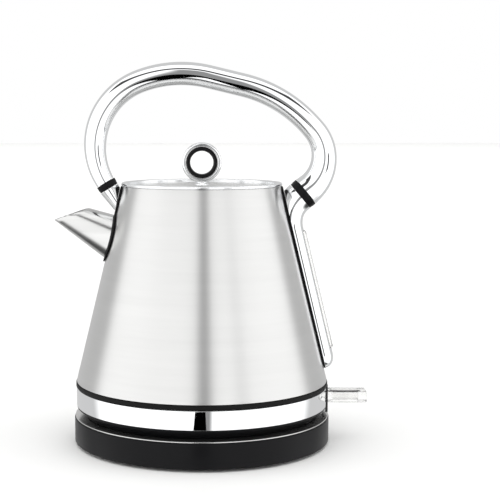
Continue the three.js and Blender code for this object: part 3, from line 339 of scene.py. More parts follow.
def settled(made):
    """Replaces an object's mesh by its evaluated one and drops its modifiers."""
    evaluated = made.evaluated_get(bpy.context.evaluated_depsgraph_get())
    mesh = bpy.data.meshes.new_from_object(evaluated)
    made.modifiers.clear()
    made.data = mesh
    return made


def combined(made, tools, operation="DIFFERENCE", sharp=32.0):
    """Joins or cuts with other objects, which are used up."""
    for tool in tools:
        modifier = made.modifiers.new("shape", "BOOLEAN")
        modifier.operation = operation
        modifier.solver = "EXACT"
        modifier.object = tool
    bpy.context.view_layer.update()
    settled(made)
    for tool in tools:
        bpy.data.objects.remove(tool)
    tidy_mesh(made, sharp)
    return made


def bevelled(made, width, segments=3, angle=35.0, sharp=32.0):
    modifier = made.modifiers.new("edges", "BEVEL")
    modifier.width = width * MM
    modifier.segments = segments
    modifier.limit_method = "ANGLE"
    modifier.angle_limit = math.radians(angle)
    modifier.use_clamp_overlap = True
    bpy.context.view_layer.update()
    settled(made)
    tidy_mesh(made, sharp)
    return made


def joined(made, others):
    """Takes other objects' meshes into the first; their materials come along."""
    with bpy.context.temp_override(active_object=made, selected_editable_objects=[made, *others]):
        bpy.ops.object.join()
    return made


def fitted(made, body, slot, *nodes):
    """Parents a finished piece to its body's empty and hides the CAD parts it replaces."""
    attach(made, body)
    if nodes:
        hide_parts(*nodes)
    return made


# ---- Geometry Nodes ---------------------------------------------------------------------------
def new_tree(name, inputs):
    """A geometry tree with a Geometry input, named inputs and a Geometry output."""
    tree = bpy.data.node_groups.new(name, "GeometryNodeTree")
    tree.interface.new_socket("Geometry", in_out="INPUT", socket_type="NodeSocketGeometry")
    for label, kind in inputs:
        tree.interface.new_socket(label, in_out="INPUT", socket_type=kind)
    tree.interface.new_socket("Geometry", in_out="OUTPUT", socket_type="NodeSocketGeometry")
    return tree, tree.nodes.new("NodeGroupInput"), tree.nodes.new("NodeGroupOutput")


def math_node(tree, operation, *values):
    made = tree.nodes.new("ShaderNodeMath")
    made.operation = operation
    for i, value in enumerate(values):
        if isinstance(value, (int, float)):
            made.inputs[i].default_value = value
        else:
            tree.links.new(value, made.inputs[i])
    return made.outputs[0]


def finish_tree(tree, geometry, finish, out):
    """Ends a tree: instances made real, then the material set."""
    real = node(tree, "GeometryNodeRealizeInstances", links={"Geometry": geometry})
    paint = node(tree, "GeometryNodeSetMaterial", links={"Geometry": real.outputs[0], "Material": finish})
    tree.links.new(paint.outputs[0], out.inputs[0])


def ring_tree():
    """Repeats a shape at equal steps on a level circle, each turned with its step."""
    tree, given, out = new_tree("Pieces on a circle", [
        ("Count", "NodeSocketInt"), ("Circle Radius", "NodeSocketFloat"),
        ("Start Angle", "NodeSocketFloat"),
        ("Material", "NodeSocketMaterial")])
    index = tree.nodes.new("GeometryNodeInputIndex").outputs[0]
    step = math_node(tree, "DIVIDE", TAU, given.outputs["Count"])
    angle = math_node(tree, "ADD", math_node(tree, "MULTIPLY", index, step), given.outputs["Start Angle"])
    x = math_node(tree, "MULTIPLY", math_node(tree, "COSINE", angle), given.outputs["Circle Radius"])
    y = math_node(tree, "MULTIPLY", math_node(tree, "SINE", angle), given.outputs["Circle Radius"])
    spot = node(tree, "ShaderNodeCombineXYZ", links={"X": x, "Y": y})
    turn = node(tree, "ShaderNodeCombineXYZ", links={"Z": angle})
    points = node(tree, "GeometryNodePoints",
                  links={"Count": given.outputs["Count"], "Position": spot.outputs[0]})
    copies = node(tree, "GeometryNodeInstanceOnPoints", links={
        "Points": points.outputs[0], "Instance": given.outputs["Geometry"], "Rotation": turn.outputs[0]})
    finish_tree(tree, copies.outputs[0], given.outputs["Material"], out)
    return tree


def row_tree():
    """Repeats a shape in a level grid of rows and columns centred on the origin."""
    tree, given, out = new_tree("Pieces in a grid", [
        ("Columns", "NodeSocketInt"), ("Rows", "NodeSocketInt"), ("Pitch", "NodeSocketFloat"),
        ("Material", "NodeSocketMaterial")])
    index = tree.nodes.new("GeometryNodeInputIndex").outputs[0]
    column = math_node(tree, "MODULO", index, given.outputs["Columns"])
    row = math_node(tree, "FLOOR", math_node(tree, "DIVIDE", index, given.outputs["Columns"]))
    places = []
    for number, count in ((column, "Columns"), (row, "Rows")):
        middle = math_node(tree, "DIVIDE", math_node(tree, "SUBTRACT", given.outputs[count], 1.0), 2.0)
        places.append(math_node(tree, "MULTIPLY", math_node(tree, "SUBTRACT", number, middle),
                                given.outputs["Pitch"]))
    spot = node(tree, "ShaderNodeCombineXYZ", links={"Y": places[0], "Z": places[1]})
    total = math_node(tree, "MULTIPLY", given.outputs["Columns"], given.outputs["Rows"])
    points = node(tree, "GeometryNodePoints", links={"Count": total, "Position": spot.outputs[0]})
    copies = node(tree, "GeometryNodeInstanceOnPoints", links={
        "Points": points.outputs[0], "Instance": given.outputs["Geometry"]})
    finish_tree(tree, copies.outputs[0], given.outputs["Material"], out)
    return tree


def grown(made, tree, values):
    """Runs a geometry tree on an object and keeps the plain mesh that comes out."""
    modifier = made.modifiers.new("grow", "NODES")
    modifier.node_group = tree
    for item in tree.interface.items_tree:
        if item.in_out == "INPUT" and item.name in values:
            modifier[item.identifier] = values[item.name]
    bpy.context.view_layer.update()
    return settled(made)


# ---- Surfaces worked out from the cone and the handle's path --------------------------------------
def cone_radius(z, offset=0.0):
    return BODY_R - (z - CONE_FOOT) * SLOPE + offset / math.cos(LEAN)


def beyond_cone(point, offset):
    """Level distance of a point outside the cone's wall, moved outwards by the offset."""
    return math.hypot(point[0], point[1]) - cone_radius(point[2], offset)


def first_root(value_at, low, high):
    """Where a falling or rising value changes sign, by bisection."""
    sign = value_at(low) > 0
    for _ in range(40):
        middle = (low + high) / 2
        low, high = (middle, high) if (value_at(middle) > 0) == sign else (low, middle)
    return (low + high) / 2


def on_cone(side, y, z, offset):
    """The point of the moved-out wall at a place seen along X; side is -1 for the spout's."""
    radius = cone_radius(z, offset)
    return (side * math.sqrt(max(radius * radius - y * y, 0.0)), y, z)


def cone_cutter(offset, low=0.0, high=RIM_TOP + 60.0):
    outline = [(0.0, low), (cone_radius(low, offset), low), (cone_radius(high, offset), high),
               (0.0, high)]
    return lathe("cutter", outline, None, 256)


def cone_patch(name, outer, inner, side, low, high, edge, finish):
    """A curved plate on the wall between two (y, z) outlines given by angle, with rounded edges."""
    steps = 128
    rows = []
    for j in range(steps):
        a = TAU * j / steps
        out, hole = np.array(outer(a)), np.array(inner(a))
        ray = out - hole
        length = np.linalg.norm(ray)
        unit = ray / max(length, 1e-9)
        bands = [hole + unit * (edge + (length - 2 * edge) * s) for s in (0.25, 0.5, 0.75)]
        loop = [(hole, low), (hole, high - edge), (hole + unit * edge * 0.3, high - edge * 0.3),
                (hole + unit * edge, high)]
        loop += [(b, high) for b in bands]
        loop += [(out - unit * edge, high), (out - unit * edge * 0.3, high - edge * 0.3),
                 (out, high - edge), (out, low)]
        rows.append([on_cone(side, p[0], p[1], h) for p, h in loop])
    points = [p for row in rows for p in row]
    return piece(name, points, grid_faces(steps, len(rows[0]), True, True), finish, 50)


class Hoop:
    """The handle's centre line: arcs and one straight stretch in the XZ plane."""

    START = (-RIM_R - 12.7, RIM_TOP - 0.1)
    HEADING = math.radians(121.3)
    FRONT = [(48.0, 100.2), (81.5, 34.6)]
    REAR = [(92.3, 37.3), (29.0, 89.2)]
    TAIL = 2.5

    def __init__(self):
        bare = self.walk(0.0)
        slope = self.HEADING - sum(math.radians(turn) for _, turn in self.FRONT)
        self.line = self.walk((RIM_R + 18.3 - bare[-1][0]) / math.cos(slope))

    def walk(self, straight):
        """Points (x, z, heading) every 1.5 mm or so."""
        x, z = self.START
        heading = self.HEADING
        line = [(x, z, heading)]
        legs = [*self.FRONT, (None, straight), *self.REAR, (None, self.TAIL)]
        for radius, extent in legs:
            length = extent if radius is None else radius * math.radians(extent)
            steps = max(1, round(length / 1.5))
            for _ in range(steps):
                step = length / steps
                turn = 0.0 if radius is None else step / radius
                chord = step if radius is None else 2 * radius * math.sin(turn / 2)
                x += chord * math.cos(heading - turn / 2)
                z += chord * math.sin(heading - turn / 2)
                heading -= turn
                line.append((x, z, heading))
        return line

    def radius_at(self, share):
        at_front = max(0.0, 1 - share / 0.22) ** 2
        at_rear = max(0.0, (share - 0.78) / 0.22) ** 2
        return 8.0 - 1.3 * at_front + 2.8 * at_rear

    @property
    def front_way(self):
        return (-math.cos(self.HEADING), -math.sin(self.HEADING))

    @property
    def end(self):
        return self.line[-1][:2]

    @property
    def rear_way(self):
        heading = self.line[-1][2]
        return (math.cos(heading), math.sin(heading))


def swept(name, stations, finish, sides=48, sharp=32.0, hollow=0.0):
    """Sweeps an ellipse along stations of (x, z, heading, half depth, half width)."""
    loops = []
    shells = [1.0] if hollow == 0 else [1.0, hollow]
    for share in shells:
        rings = []
        for x, z, heading, depth, width in stations:
            normal = (-math.sin(heading), math.cos(heading))
            ring = []
            for j in range(sides):
                a = TAU * j / sides
                u, v = share * depth * math.cos(a), share * width * math.sin(a)
                ring.append((x + normal[0] * u, v, z + normal[1] * u))
            rings.append(ring)
        loops.append(rings)
    if hollow:
        rings = loops[0] + loops[1][::-1]
        points = [p for ring in rings for p in ring]
        return piece(name, points, grid_faces(len(rings), sides, True, True), finish, sharp)
    points = [p for ring in loops[0] for p in ring]
    faces = grid_faces(len(stations), sides, False, True)
    faces.append(list(range(sides))[::-1])
    last = (len(stations) - 1) * sides
    faces.append([last + j for j in range(sides)])
    return piece(name, points, faces, finish, sharp)


def trimmed_cone(name, origin, way, radius_at, far_at, inset, finish, sides=96, rim=0.3):
    """A cone shell in the XZ plane from the wall's saddle line to a far edge, with a rolled rim."""
    across = (-way[1], way[0])

    def at(d, a, less):
        radius = radius_at(d) - less
        u, v = radius * math.cos(a), radius * math.sin(a)
        return (origin[0] + way[0] * d + across[0] * u, v, origin[1] + way[1] * d + across[1] * u)

    rows = []
    for j in range(sides):
        a = TAU * j / sides
        loop = []
        for less, order in ((0.0, 1), (inset, -1)):
            near = first_root(lambda d: beyond_cone(at(d, a, less), SADDLE), -22.0, 14.0)
            far = first_root(lambda d: far_at(at(d, a, less)), 0.0, 70.0)
            run = [at(near + (far - rim - near) * s, a, less) for s in np.linspace(0, 1, 14)]
            loop += run if order > 0 else run[::-1]
            if order > 0:
                tip = first_root(lambda d: far_at(at(d, a, less + inset / 2)), 0.0, 70.0)
                edge = [at(far - rim * 0.3, a, inset * 0.12), at(tip, a, inset / 2)]
                back = first_root(lambda d: far_at(at(d, a, inset)), 0.0, 70.0)
                loop += [*edge, at(back - rim * 0.3, a, inset * 0.88)]
        rows.append(loop)
    points = [p for row in rows for p in row]
    return piece(name, points, grid_faces(sides, len(rows[0]), True, True), finish, 50)


def rear_wall(xs, half_width, low, high, name="strip", finish=None):
    """A box on the rear wall: xs out from the wall, low and high measured upright."""
    middle = (low + high) / 2
    half = (high - low) / 2 / math.cos(LEAN)
    out, up = (math.cos(LEAN), math.sin(LEAN)), (-math.sin(LEAN), math.cos(LEAN))
    origin = (cone_radius(middle), middle)
    points = []
    for x in xs:
        for y in (-half_width, half_width):
            for s in (-half, half):
                points.append((origin[0] + out[0] * x + up[0] * s, y, origin[1] + out[1] * x + up[1] * s))
    faces = [[0, 1, 3, 2], [4, 6, 7, 5], [0, 4, 5, 1], [2, 3, 7, 6], [0, 2, 6, 4], [1, 5, 7, 3]]
    return piece(name, points, faces, finish)


# ---- Settings -----------------------------------------------------------------------------------
def setting(kind, name, description, default, **more):
    return kind(name=name, description=description, default=default, **more)


class KettleFinishes(bpy.types.PropertyGroup):
    """Colours and surface sizes of the kettle's finishes."""

    steel_hex: setting(bpy.props.StringProperty, "Steel", "Brightest colour of the brushed steel, hex",
                       "DCDCDB")
    chrome_hex: setting(bpy.props.StringProperty, "Chrome", "Colour of the chrome plate, hex", "F4F5F6")
    plastic_hex: setting(bpy.props.StringProperty, "Plastic", "Colour of the black plastic, hex",
                         "101012")
    brush_line: setting(bpy.props.FloatProperty, "Hairline", "Spacing of the brushed hairlines", 0.0007,
                        min=0.0002, unit="LENGTH", precision=5)
    dome_grain: setting(bpy.props.FloatProperty, "Dome grain", "Grain size of the base's dome", 0.0011,
                        min=0.0003, unit="LENGTH", precision=5)


class KettleSizes(bpy.types.PropertyGroup):
    """Sizes of details that the CAD part leaves plain."""

    edge_fillet: setting(bpy.props.FloatProperty, "Edge fillet", "Rounding of pressed and moulded edges",
                         0.0008, min=0.0001, unit="LENGTH", precision=5)
    filter_pitch: setting(bpy.props.FloatProperty, "Filter pitch", "Spacing of the filter's holes",
                          0.0016,
                          min=0.0008, unit="LENGTH", precision=5)
    gauge_marks: setting(bpy.props.IntProperty, "Gauge marks", "Level lines on the water gauge", 7, min=2)
    cover_ribs: setting(bpy.props.IntProperty, "Cover ribs", "Ribs under the base", 24, min=6)


class KettleStudio(bpy.types.PropertyGroup):
    """Light and camera."""

    lens: setting(bpy.props.FloatProperty, "Lens", "Focal length in millimetres", 93.6, min=20.0)
    distance: setting(bpy.props.FloatProperty, "Distance", "Camera in front of the kettle's axis", 0.9055,
                      min=0.3, unit="LENGTH")
    height: setting(bpy.props.FloatProperty, "Height", "Camera above the table", 0.2285, unit="LENGTH")
    pitch: setting(bpy.props.FloatProperty, "Pitch", "Camera's downward tilt", math.radians(5.9),
                   subtype="ANGLE")
    shift: setting(bpy.props.FloatProperty, "Shift", "Level shift that frames the handle side", 0.0964)


FINISH = {}


def settings():
    return bpy.context.scene.kettle_finishes, bpy.context.scene.kettle_sizes, bpy.context.scene.kettle_studio


def screw_with_recess(name, foot, finish, head=3.5, tall=1.9, shank=1.9, length=10.0, upward=True):
    """A pan-head screw with a cross recess; the head's face looks away from the shank."""
    s = 1 if upward else -1
    outline = [(0.0, 0.0), (head, 0.0, 0.7), (head, s * tall, 0.2), (shank, s * tall),
               (shank, s * length), (0.0, s * length)]
    made = lathe(name, [(r, foot + z) for r, z in rounded(outline, closed=True)], finish, 32)
    arms = [box("arm", (-2.1, -0.4, foot - 1.3), (2.1, 0.4, foot + 1.3), None),
            box("arm", (-0.4, -2.1, foot - 1.3), (0.4, 2.1, foot + 1.3), None)]
    return combined(made, arms)


# ---- Operators: one for each group of pieces ----------------------------------------------------------
class KETTLE_OT_power_base(bpy.types.Operator):
    """Builds the power base: housing, steel trim, cover, gland, feet and screws"""

    bl_idname = "kettle.power_base"
    bl_label = "Power base"

    def execute(self, context):
        _, sizes, _ = settings()
        edge = sizes.edge_fillet / MM
        housing = lathe("housing_moulding", rounded([
            (87.3, 2.0), (89.5, 2.0, 0.5), (89.5, 18.9, edge), (55.5, 18.9), (55.5, 21.4, edge),
            (41.6, 22.35, 0.4),
            (41.0, 22.9, 0.3), (32.2, 23.6, 0.8), (31.5, 25.0, 0.6), (29.5, 25.0, 0.6), (28.5, 23.6, 0.6),
            (17.5, 23.6, 0.3), (17.5, 21.4), (27.5, 21.4), (33.5, 20.2), (52.5, 19.2), (53.3, 16.7),
            (87.3, 16.7),
        ]), FINISH["plastic"], 192)
        housing.data.materials.append(FINISH["dome_plastic"])
        for face in housing.data.polygons:
            away = math.hypot(face.center.x, face.center.y)
            if away < 0.0546 and face.center.z > 0.0205:
                face.material_index = 1
        notch = box("notch", (-6.3, 83.3, 1.0), (6.3, 92.0, 13.5), None)
        fitted(combined(housing, [notch]), "base", "black_plastic", "base_housing")

        trim = lathe("trim_disc", rounded([
            (55.8, 19.2), (89.0, 19.2, 0.35), (89.0, 20.0, 0.35), (55.8, 20.0, 0.3)]),
            FINISH["ring_steel"], 192)
        fitted(trim, "base", "brushed_steel", "base_trim_plate")

        self.build_cover(sizes)
        gland = box("gland_block", (-6.0, 87.6, 2.3), (6.0, 90.5, 12.6), FINISH["rubber"])
        collar = box("flange", (-8.0, 83.3, 4.1), (8.0, 86.4, 13.8), None)
        web = box("web", (-6.0, 85.3, 4.1), (6.0, 89.0, 12.6), None)
        combined(gland, [web, collar], "UNION")
        bore = turned_along("bore", [(0.0, 0.0), (3.4, 0.0), (3.4, 14.0), (0.0, 14.0)], (0, 0), (0, 1),
                            None, 48)
        bore.data.transform(rotation_to_y((0.0, 80.0, 8.5)))
        combined(bevelled(gland, 0.5), [bore])
        fitted(gland, "base", "black_rubber", "cord_gland")
        self.build_feet()
        return {"FINISHED"}

    def build_cover(self, sizes):
        cover = lathe("cover_moulding", rounded([
            (0.0, 1.2), (50.0, 1.2, 0.5), (50.6, 2.0, 0.2), (87.0, 2.0), (87.0, 3.8), (21.0, 3.8),
            (21.0, 16.2),
            (13.0, 16.2), (13.0, 3.8), (0.0, 3.8)]), FINISH["plastic"], 192)
        wells = [rod("well", 7.3, 1, 3, 48, spot) for spot in circle_spots(4, 45, FOOT_CIRCLE)]
        wells += [rod("well", 3.8, 1, 4.0, 48, spot) for spot in circle_spots(3, 30, COVER_SCREW_CIRCLE)]
        combined(cover, wells)
        rib = box("rib", (-15.0, -0.5, 1.35), (15.0, 0.5, 2.3), None)
        ribs = grown(rib, ring_tree_once(), {
            "Count": sizes.cover_ribs, "Circle Radius": 0.068, "Start Angle": math.radians(7.5),
            "Material": FINISH["plastic"]})
        clear_spots = [(FOOT_CIRCLE, 45 + 90 * k, 9.0) for k in range(4)]
        clear_spots += [(COVER_SCREW_CIRCLE, 30 + 120 * k, 5.5) for k in range(3)]
        keep_outside(ribs, clear_spots)
        joined(cover, [ribs])
        fitted(cover, "base", "black_plastic", "base_bottom_cover")

    def build_feet(self):
        foot = lathe("rubber_feet", rounded([
            (0.0, 0.25), (1.6, 0.25), (2.0, 0.0, 0.1), (3.2, 0.0, 0.1), (3.6, 0.3, 0.1), (4.2, 0.3, 0.1),
            (4.6, 0.0, 0.1),
            (7.0, 0.0, 0.6), (7.0, 2.7, 0.1), (0.0, 2.7)]), None, 40)
        feet = grown(foot, ring_tree_once(), {
            "Count": 4, "Circle Radius": FOOT_CIRCLE * MM, "Start Angle": math.radians(45),
            "Material": FINISH["rubber"]})
        fitted(feet, "base", "black_rubber", "base_foot_1", "base_foot_2", "base_foot_3", "base_foot_4")
        screw = screw_with_recess("base_screws", 2.1, None, length=12.9)
        screws = grown(screw, ring_tree_once(), {
            "Count": 3, "Circle Radius": COVER_SCREW_CIRCLE * MM, "Start Angle": math.radians(30),
            "Material": FINISH["zinc"]})
        fitted(screws, "base", "screw_steel", "base_screw_1", "base_screw_2", "base_screw_3")


class KETTLE_OT_connector(bpy.types.Operator):
    """Builds the connector tower with its grooves, shutter slots and contacts"""

    bl_idname = "kettle.connector"
    bl_label = "Connector tower"

    def execute(self, context):
        floor, top = 31.0, TOWER_TOP
        tower = lathe("tower_moulding", rounded([
            (0.0, 18.9), (22.0, 18.9), (22.0, 21.1), (17.0, 21.1), (17.0, 24.2, 0.8), (13.1, 28.9, 1.6),
            (12.8, 29.6, 1.0), (12.8, 33.2), (12.45, 33.5), (12.45, 34.1), (12.8, 34.4),
            (12.8, 40.5, 0.9),
            (11.2, 40.5, 0.3), (11.2, floor), (9.2, floor), (9.2, 40.3, 0.3), (7.6, 40.3, 0.3),
            (7.6, floor),
            (5.6, floor), (5.6, 40.5, 0.4), (2.6, 40.5, 0.4), (2.6, floor), (0.0, floor)]),
            FINISH["plastic"], 96)
        slots = []
        for turn in (-90, 30, 150):
            a = math.radians(turn)
            slot = box("slot", (11.6, -1.0, 32.2), (14.5, 1.0, 38.9), None)
            turn_mesh(slot, a)
            slots.append(slot)
        combined(tower, slots)
        fitted(tower, "connector", "black_plastic", "connector_tower")
        for name, inner, outer in (("live", 0.0, 2.3), ("neutral", 5.9, 7.3), ("earth", 9.5, 10.9)):
            ring = lathe(f"{name}_contact_strip", rounded([
                (inner, floor + GAP), (outer, floor + GAP), (outer, floor + GAP + 1.3, 0.3),
                (inner, floor + GAP + 1.3, 0.3 if inner else 0.0)]), FINISH["brass"], 64)
            fitted(ring, "connector", "contact_brass", f"tower_{name}_contact")
        return {"FINISHED"}


class KETTLE_OT_body(bpy.types.Operator):
    """Builds the steel body: shell, mouth ring and chamber floor"""

    bl_idname = "kettle.body"
    bl_label = "Steel body"

    def execute(self, context):
        wall = 0.7 / math.cos(LEAN)
        foot, neck = CONE_FOOT, CONE_FOOT - 6
        top = RIM_TOP - 2.5
        heights = np.linspace(foot + 1.2, top, 60)
        outline = [(72.0, neck), *rounded([(85.0, neck), (85.6, neck, 0.5), (85.6, foot)],
                                          closed=False)[1:-1],
                   (85.6, foot), (87.6, foot), (87.85, foot + 0.3)]
        outline += [(cone_radius(z), z) for z in heights]
        outline += [(cone_radius(z) - wall, z) for z in heights[::-1]]
        outline += [(85.6 - 0.7, foot + 0.7), (84.9, neck + 0.7), (72.0, neck + 0.7)]
        shell = lathe("cone_shell", outline, FINISH["body_steel"], 224)
        shell.data.materials.append(FINISH["inner_steel"])
        for face in shell.data.polygons:
            if face.normal.x * face.center.x + face.normal.y * face.center.y < 0:
                face.material_index = 1
        front, rear = RIM_TOP - 13.7, RIM_TOP - 20.7
        cutters = [spout_bore(2.0)]
        cutters.append(turned_along("hole", [(0, 40), (2.2, 40), (2.2, 90), (0, 90)], (0, front), (-1, 0),
                                    None, 32))
        cutters.append(turned_along("hole", [(0, 40), (2.2, 40), (2.2, 90), (0, 90)], (0, rear), (1, 0),
                                    None, 32))
        for height in port_heights():
            cutters.append(wall_bar("hole", 3.3, -4.0, 4.0, height))
        combined(shell, cutters)
        fitted(shell, "kettle", "brushed_steel", "body_shell")

        ledge = LID_TOP - 4.0
        inside = cone_radius(top) - wall - 0.6
        ring = lathe("rolled_mouth_ring", rounded([
            (47.2, ledge - 1.2, 0.3), (inside, ledge - 1.2, 0.3), (inside, RIM_TOP - 2.2),
            (56.0, RIM_TOP - 2.2, 0.5),
            (56.0, RIM_TOP, 1.5), (51.7, RIM_TOP, 0.9), (51.7, ledge), (47.2, ledge, 0.3)]),
            FINISH["satin_chrome"], 192)
        fitted(ring, "kettle", "polished_chrome", "mouth_ring")

        floor = SEAT + 37.7
        edge = cone_radius(floor) - wall - GAP
        plate = lathe("chamber_floor", rounded([
            (0.0, floor - 0.8), (edge - 0.8, floor - 0.8, 0.6), (edge - 0.8, floor - 5.0),
            (edge, floor - 5.0),
            (edge, floor, 1.2), (0.0, floor)]), FINISH["inner_steel"], 160)
        combined(plate, [rod("hole", 4.3, floor - 3, floor + 3, 48, (46.0, 0.0))])
        fitted(plate, "kettle", "brushed_steel", "element_plate")
        return {"FINISHED"}


class KETTLE_OT_spout(bpy.types.Operator):
    """Builds the beak spout, its saddle seal and the filter behind it"""

    bl_idname = "kettle.spout"
    bl_label = "Spout"

    def execute(self, context):
        origin, way = spout_axis()
        tilt = math.radians(19)
        reach = 40.5
        below = spout_radius(reach)
        tip = (origin[0] + way[0] * reach - below * way[1], origin[1] + way[1] * reach + below * way[0])

        def past_mouth(p):
            return -math.sin(tilt) * (p[0] - tip[0]) + math.cos(tilt) * (p[2] - tip[1])

        beak = trimmed_cone("beak_spout", origin, way, spout_radius, past_mouth, 0.8,
                            FINISH["spout_steel"])
        fitted(beak, "kettle", "brushed_steel", "spout")

        centre, round_r, strip_r, top = origin[1], 17.8, 7.9, RIM_TOP - 2.8

        def seal_outline(a):
            """The round foot under the spout joined with the strip under the handle's bracket."""
            y, z = math.cos(a), math.sin(a)
            away = round_r
            if z > 0:
                beside = strip_r / max(abs(y), 1e-6)
                above = (top - centre) / z
                away = max(away, min(beside, above))
            return (y * away, centre + z * away)

        def passage(a):
            return bore_outline(a, 2.0)

        seal = cone_patch("saddle_gasket", seal_outline, passage, -1, GAP, GAP + 1.0, 0.3,
                          FINISH["rubber"])
        fitted(seal, "kettle", "black_rubber", "spout_saddle_seal")
        self.build_filter(centre)
        return {"FINISHED"}

    def build_filter(self, centre):
        """A moulded frame and a perforated sheet, behind the wall."""
        _, sizes, _ = settings()
        half = 17.0

        def frame_outline(a):
            return squircle(a, half, half + 3.0, centre)

        def window(a):
            return squircle(a, half - 3.5, half - 1.0, centre)

        rim = cone_patch("filter_moulding", frame_outline, window, -1, -3.0, -1.0, 0.3, FINISH["plastic"])
        fitted(rim, "spout_filter", "black_plastic", "filter_frame")
        pitch = sizes.filter_pitch / MM
        columns, rows = int(2 * (half - 2.5) / pitch), int(2 * half / pitch)
        cell = perforated_cell(pitch)
        sheet = grown(cell, grid_tree_once(), {
            "Columns": columns, "Rows": rows, "Pitch": sizes.filter_pitch,
            "Material": FINISH["inner_steel"]})
        wrap_on_wall(sheet, centre, -3.4)
        fitted(sheet, "spout_filter", "brushed_steel", "filter_mesh")


def rotation_to_y(origin):
    """Turns a piece drawn along Z to lie along Y, from an origin in millimetres."""
    return Matrix.Translation(Vector(origin) * MM) @ Matrix.Rotation(-math.pi / 2, 4, "X")


def turn_mesh(made, angle):
    made.data.transform(Matrix.Rotation(angle, 4, "Z"))


# ---- Shapes that only this kettle has -----------------------------------------------------------------
def ring_tree_once():
    return bpy.data.node_groups.get("Pieces on a circle") or ring_tree()


def grid_tree_once():
    return bpy.data.node_groups.get("Pieces in a grid") or row_tree()


def keep_outside(made, spots):
    """Removes the vertices that lie in upright wells of (circle, degrees, radius)."""
    shape = bmesh.new()
    shape.from_mesh(made.data)
    doomed = []
    for circle, degrees, radius in spots:
        a = math.radians(degrees)
        x, y = MM * circle * math.cos(a), MM * circle * math.sin(a)
        for vertex in shape.verts:
            if math.hypot(vertex.co.x - x, vertex.co.y - y) < MM * (radius + 8.0):
                doomed.append(vertex)
    linked = set()
    for vertex in doomed:
        stack = [vertex]
        while stack:
            here = stack.pop()
            if here in linked:
                continue
            linked.add(here)
            stack.extend(edge.other_vert(here) for edge in here.link_edges)
    bmesh.ops.delete(shape, geom=list(linked), context="VERTS")
    shape.to_mesh(made.data)
    shape.free()


def spout_axis():
    """The spout's root on the wall and its direction, in the XZ plane."""
    height = CONE_FOOT + 101.1
    pitch = math.radians(26.25)
    return (-cone_radius(height), height), (-math.cos(pitch), math.sin(pitch))


def spout_radius(d):
    return 15.2 - d * math.tan(math.radians(11.05))


def spout_bore(inset):
    origin, way = spout_axis()
    outline = [(0.0, -16.0), (spout_radius(-16.0) - inset, -16.0), (spout_radius(12.0) - inset, 12.0),
               (0.0, 12.0)]
    return turned_along("bore", outline, origin, way, None, 96)


def bore_outline(a, inset):
    """Where the bore meets the wall, as (y, z), for a direction seen along X."""
    origin, way = spout_axis()
    across = (-way[1], way[0])
    swing = math.atan2(-math.sin(a), math.cos(a))

    def at(d):
        radius = spout_radius(d) - inset
        u, v = radius * math.sin(swing), radius * math.cos(swing)
        return (origin[0] + way[0] * d + across[0] * u, v, origin[1] + way[1] * d + across[1] * u)

    hit = at(first_root(lambda d: beyond_cone(at(d), 0.8), -15.0, 14.0))
    return (hit[1], hit[2])


def squircle(a, half_width, half_height, centre):
    """A rounded rectangle by angle, as (y, z)."""
    y, z = math.cos(a), math.sin(a)
    power = 5.0
    away = (abs(y / half_width) ** power + abs(z / half_height) ** power) ** (-1 / power)
    return (y * away, centre + z * away)


def port_heights():
    return (CONE_FOOT + 21 + 9, CONE_FOOT + 103 - 9)


def wall_bar(name, radius, near, far, height, finish=None):
    """A round bar square to the rear wall."""
    outline = [(0.0, near), (radius, near), (radius, far), (0.0, far)]
    way = (math.cos(LEAN), math.sin(LEAN))
    return turned_along(name, outline, (cone_radius(height), height), way, finish, 32)


def perforated_cell(pitch):
    """One square of the filter sheet with its round hole, in the YZ plane."""
    half, hole, thick = pitch / 2, pitch * 0.29, 0.15
    square = [(half * s, half * t) for s, t in ((1, 0), (1, 1), (0, 1), (-1, 1), (-1, 0), (-1, -1),
                                                (0, -1), (1, -1))]
    round_hole = [(hole * math.cos(TAU * k / 8), hole * math.sin(TAU * k / 8)) for k in range(8)]
    points = [(x, y, z) for x in (-thick, thick) for y, z in square + round_hole]
    faces = []
    for k in range(8):
        n = (k + 1) % 8
        faces.append([k, n, 8 + n, 8 + k])
        faces.append([16 + k, 24 + k, 24 + n, 16 + n])
        faces.append([8 + k, 8 + n, 24 + n, 24 + k])
    return piece("perforated_sheet", points, faces, None)


def wrap_on_wall(made, centre, offset):
    """Lays a sheet drawn about the origin in the YZ plane on the front wall."""
    shape = bmesh.new()
    shape.from_mesh(made.data)
    bmesh.ops.remove_doubles(shape, verts=shape.verts, dist=0.01 * MM)
    for vertex in shape.verts:
        x, y, z = (c / MM for c in vertex.co)
        place = on_cone(-1, y, centre + z, offset - x)
        vertex.co = Vector(place) * MM
    bmesh.ops.recalc_face_normals(shape, faces=shape.faces)
    shape.to_mesh(made.data)
    shape.free()


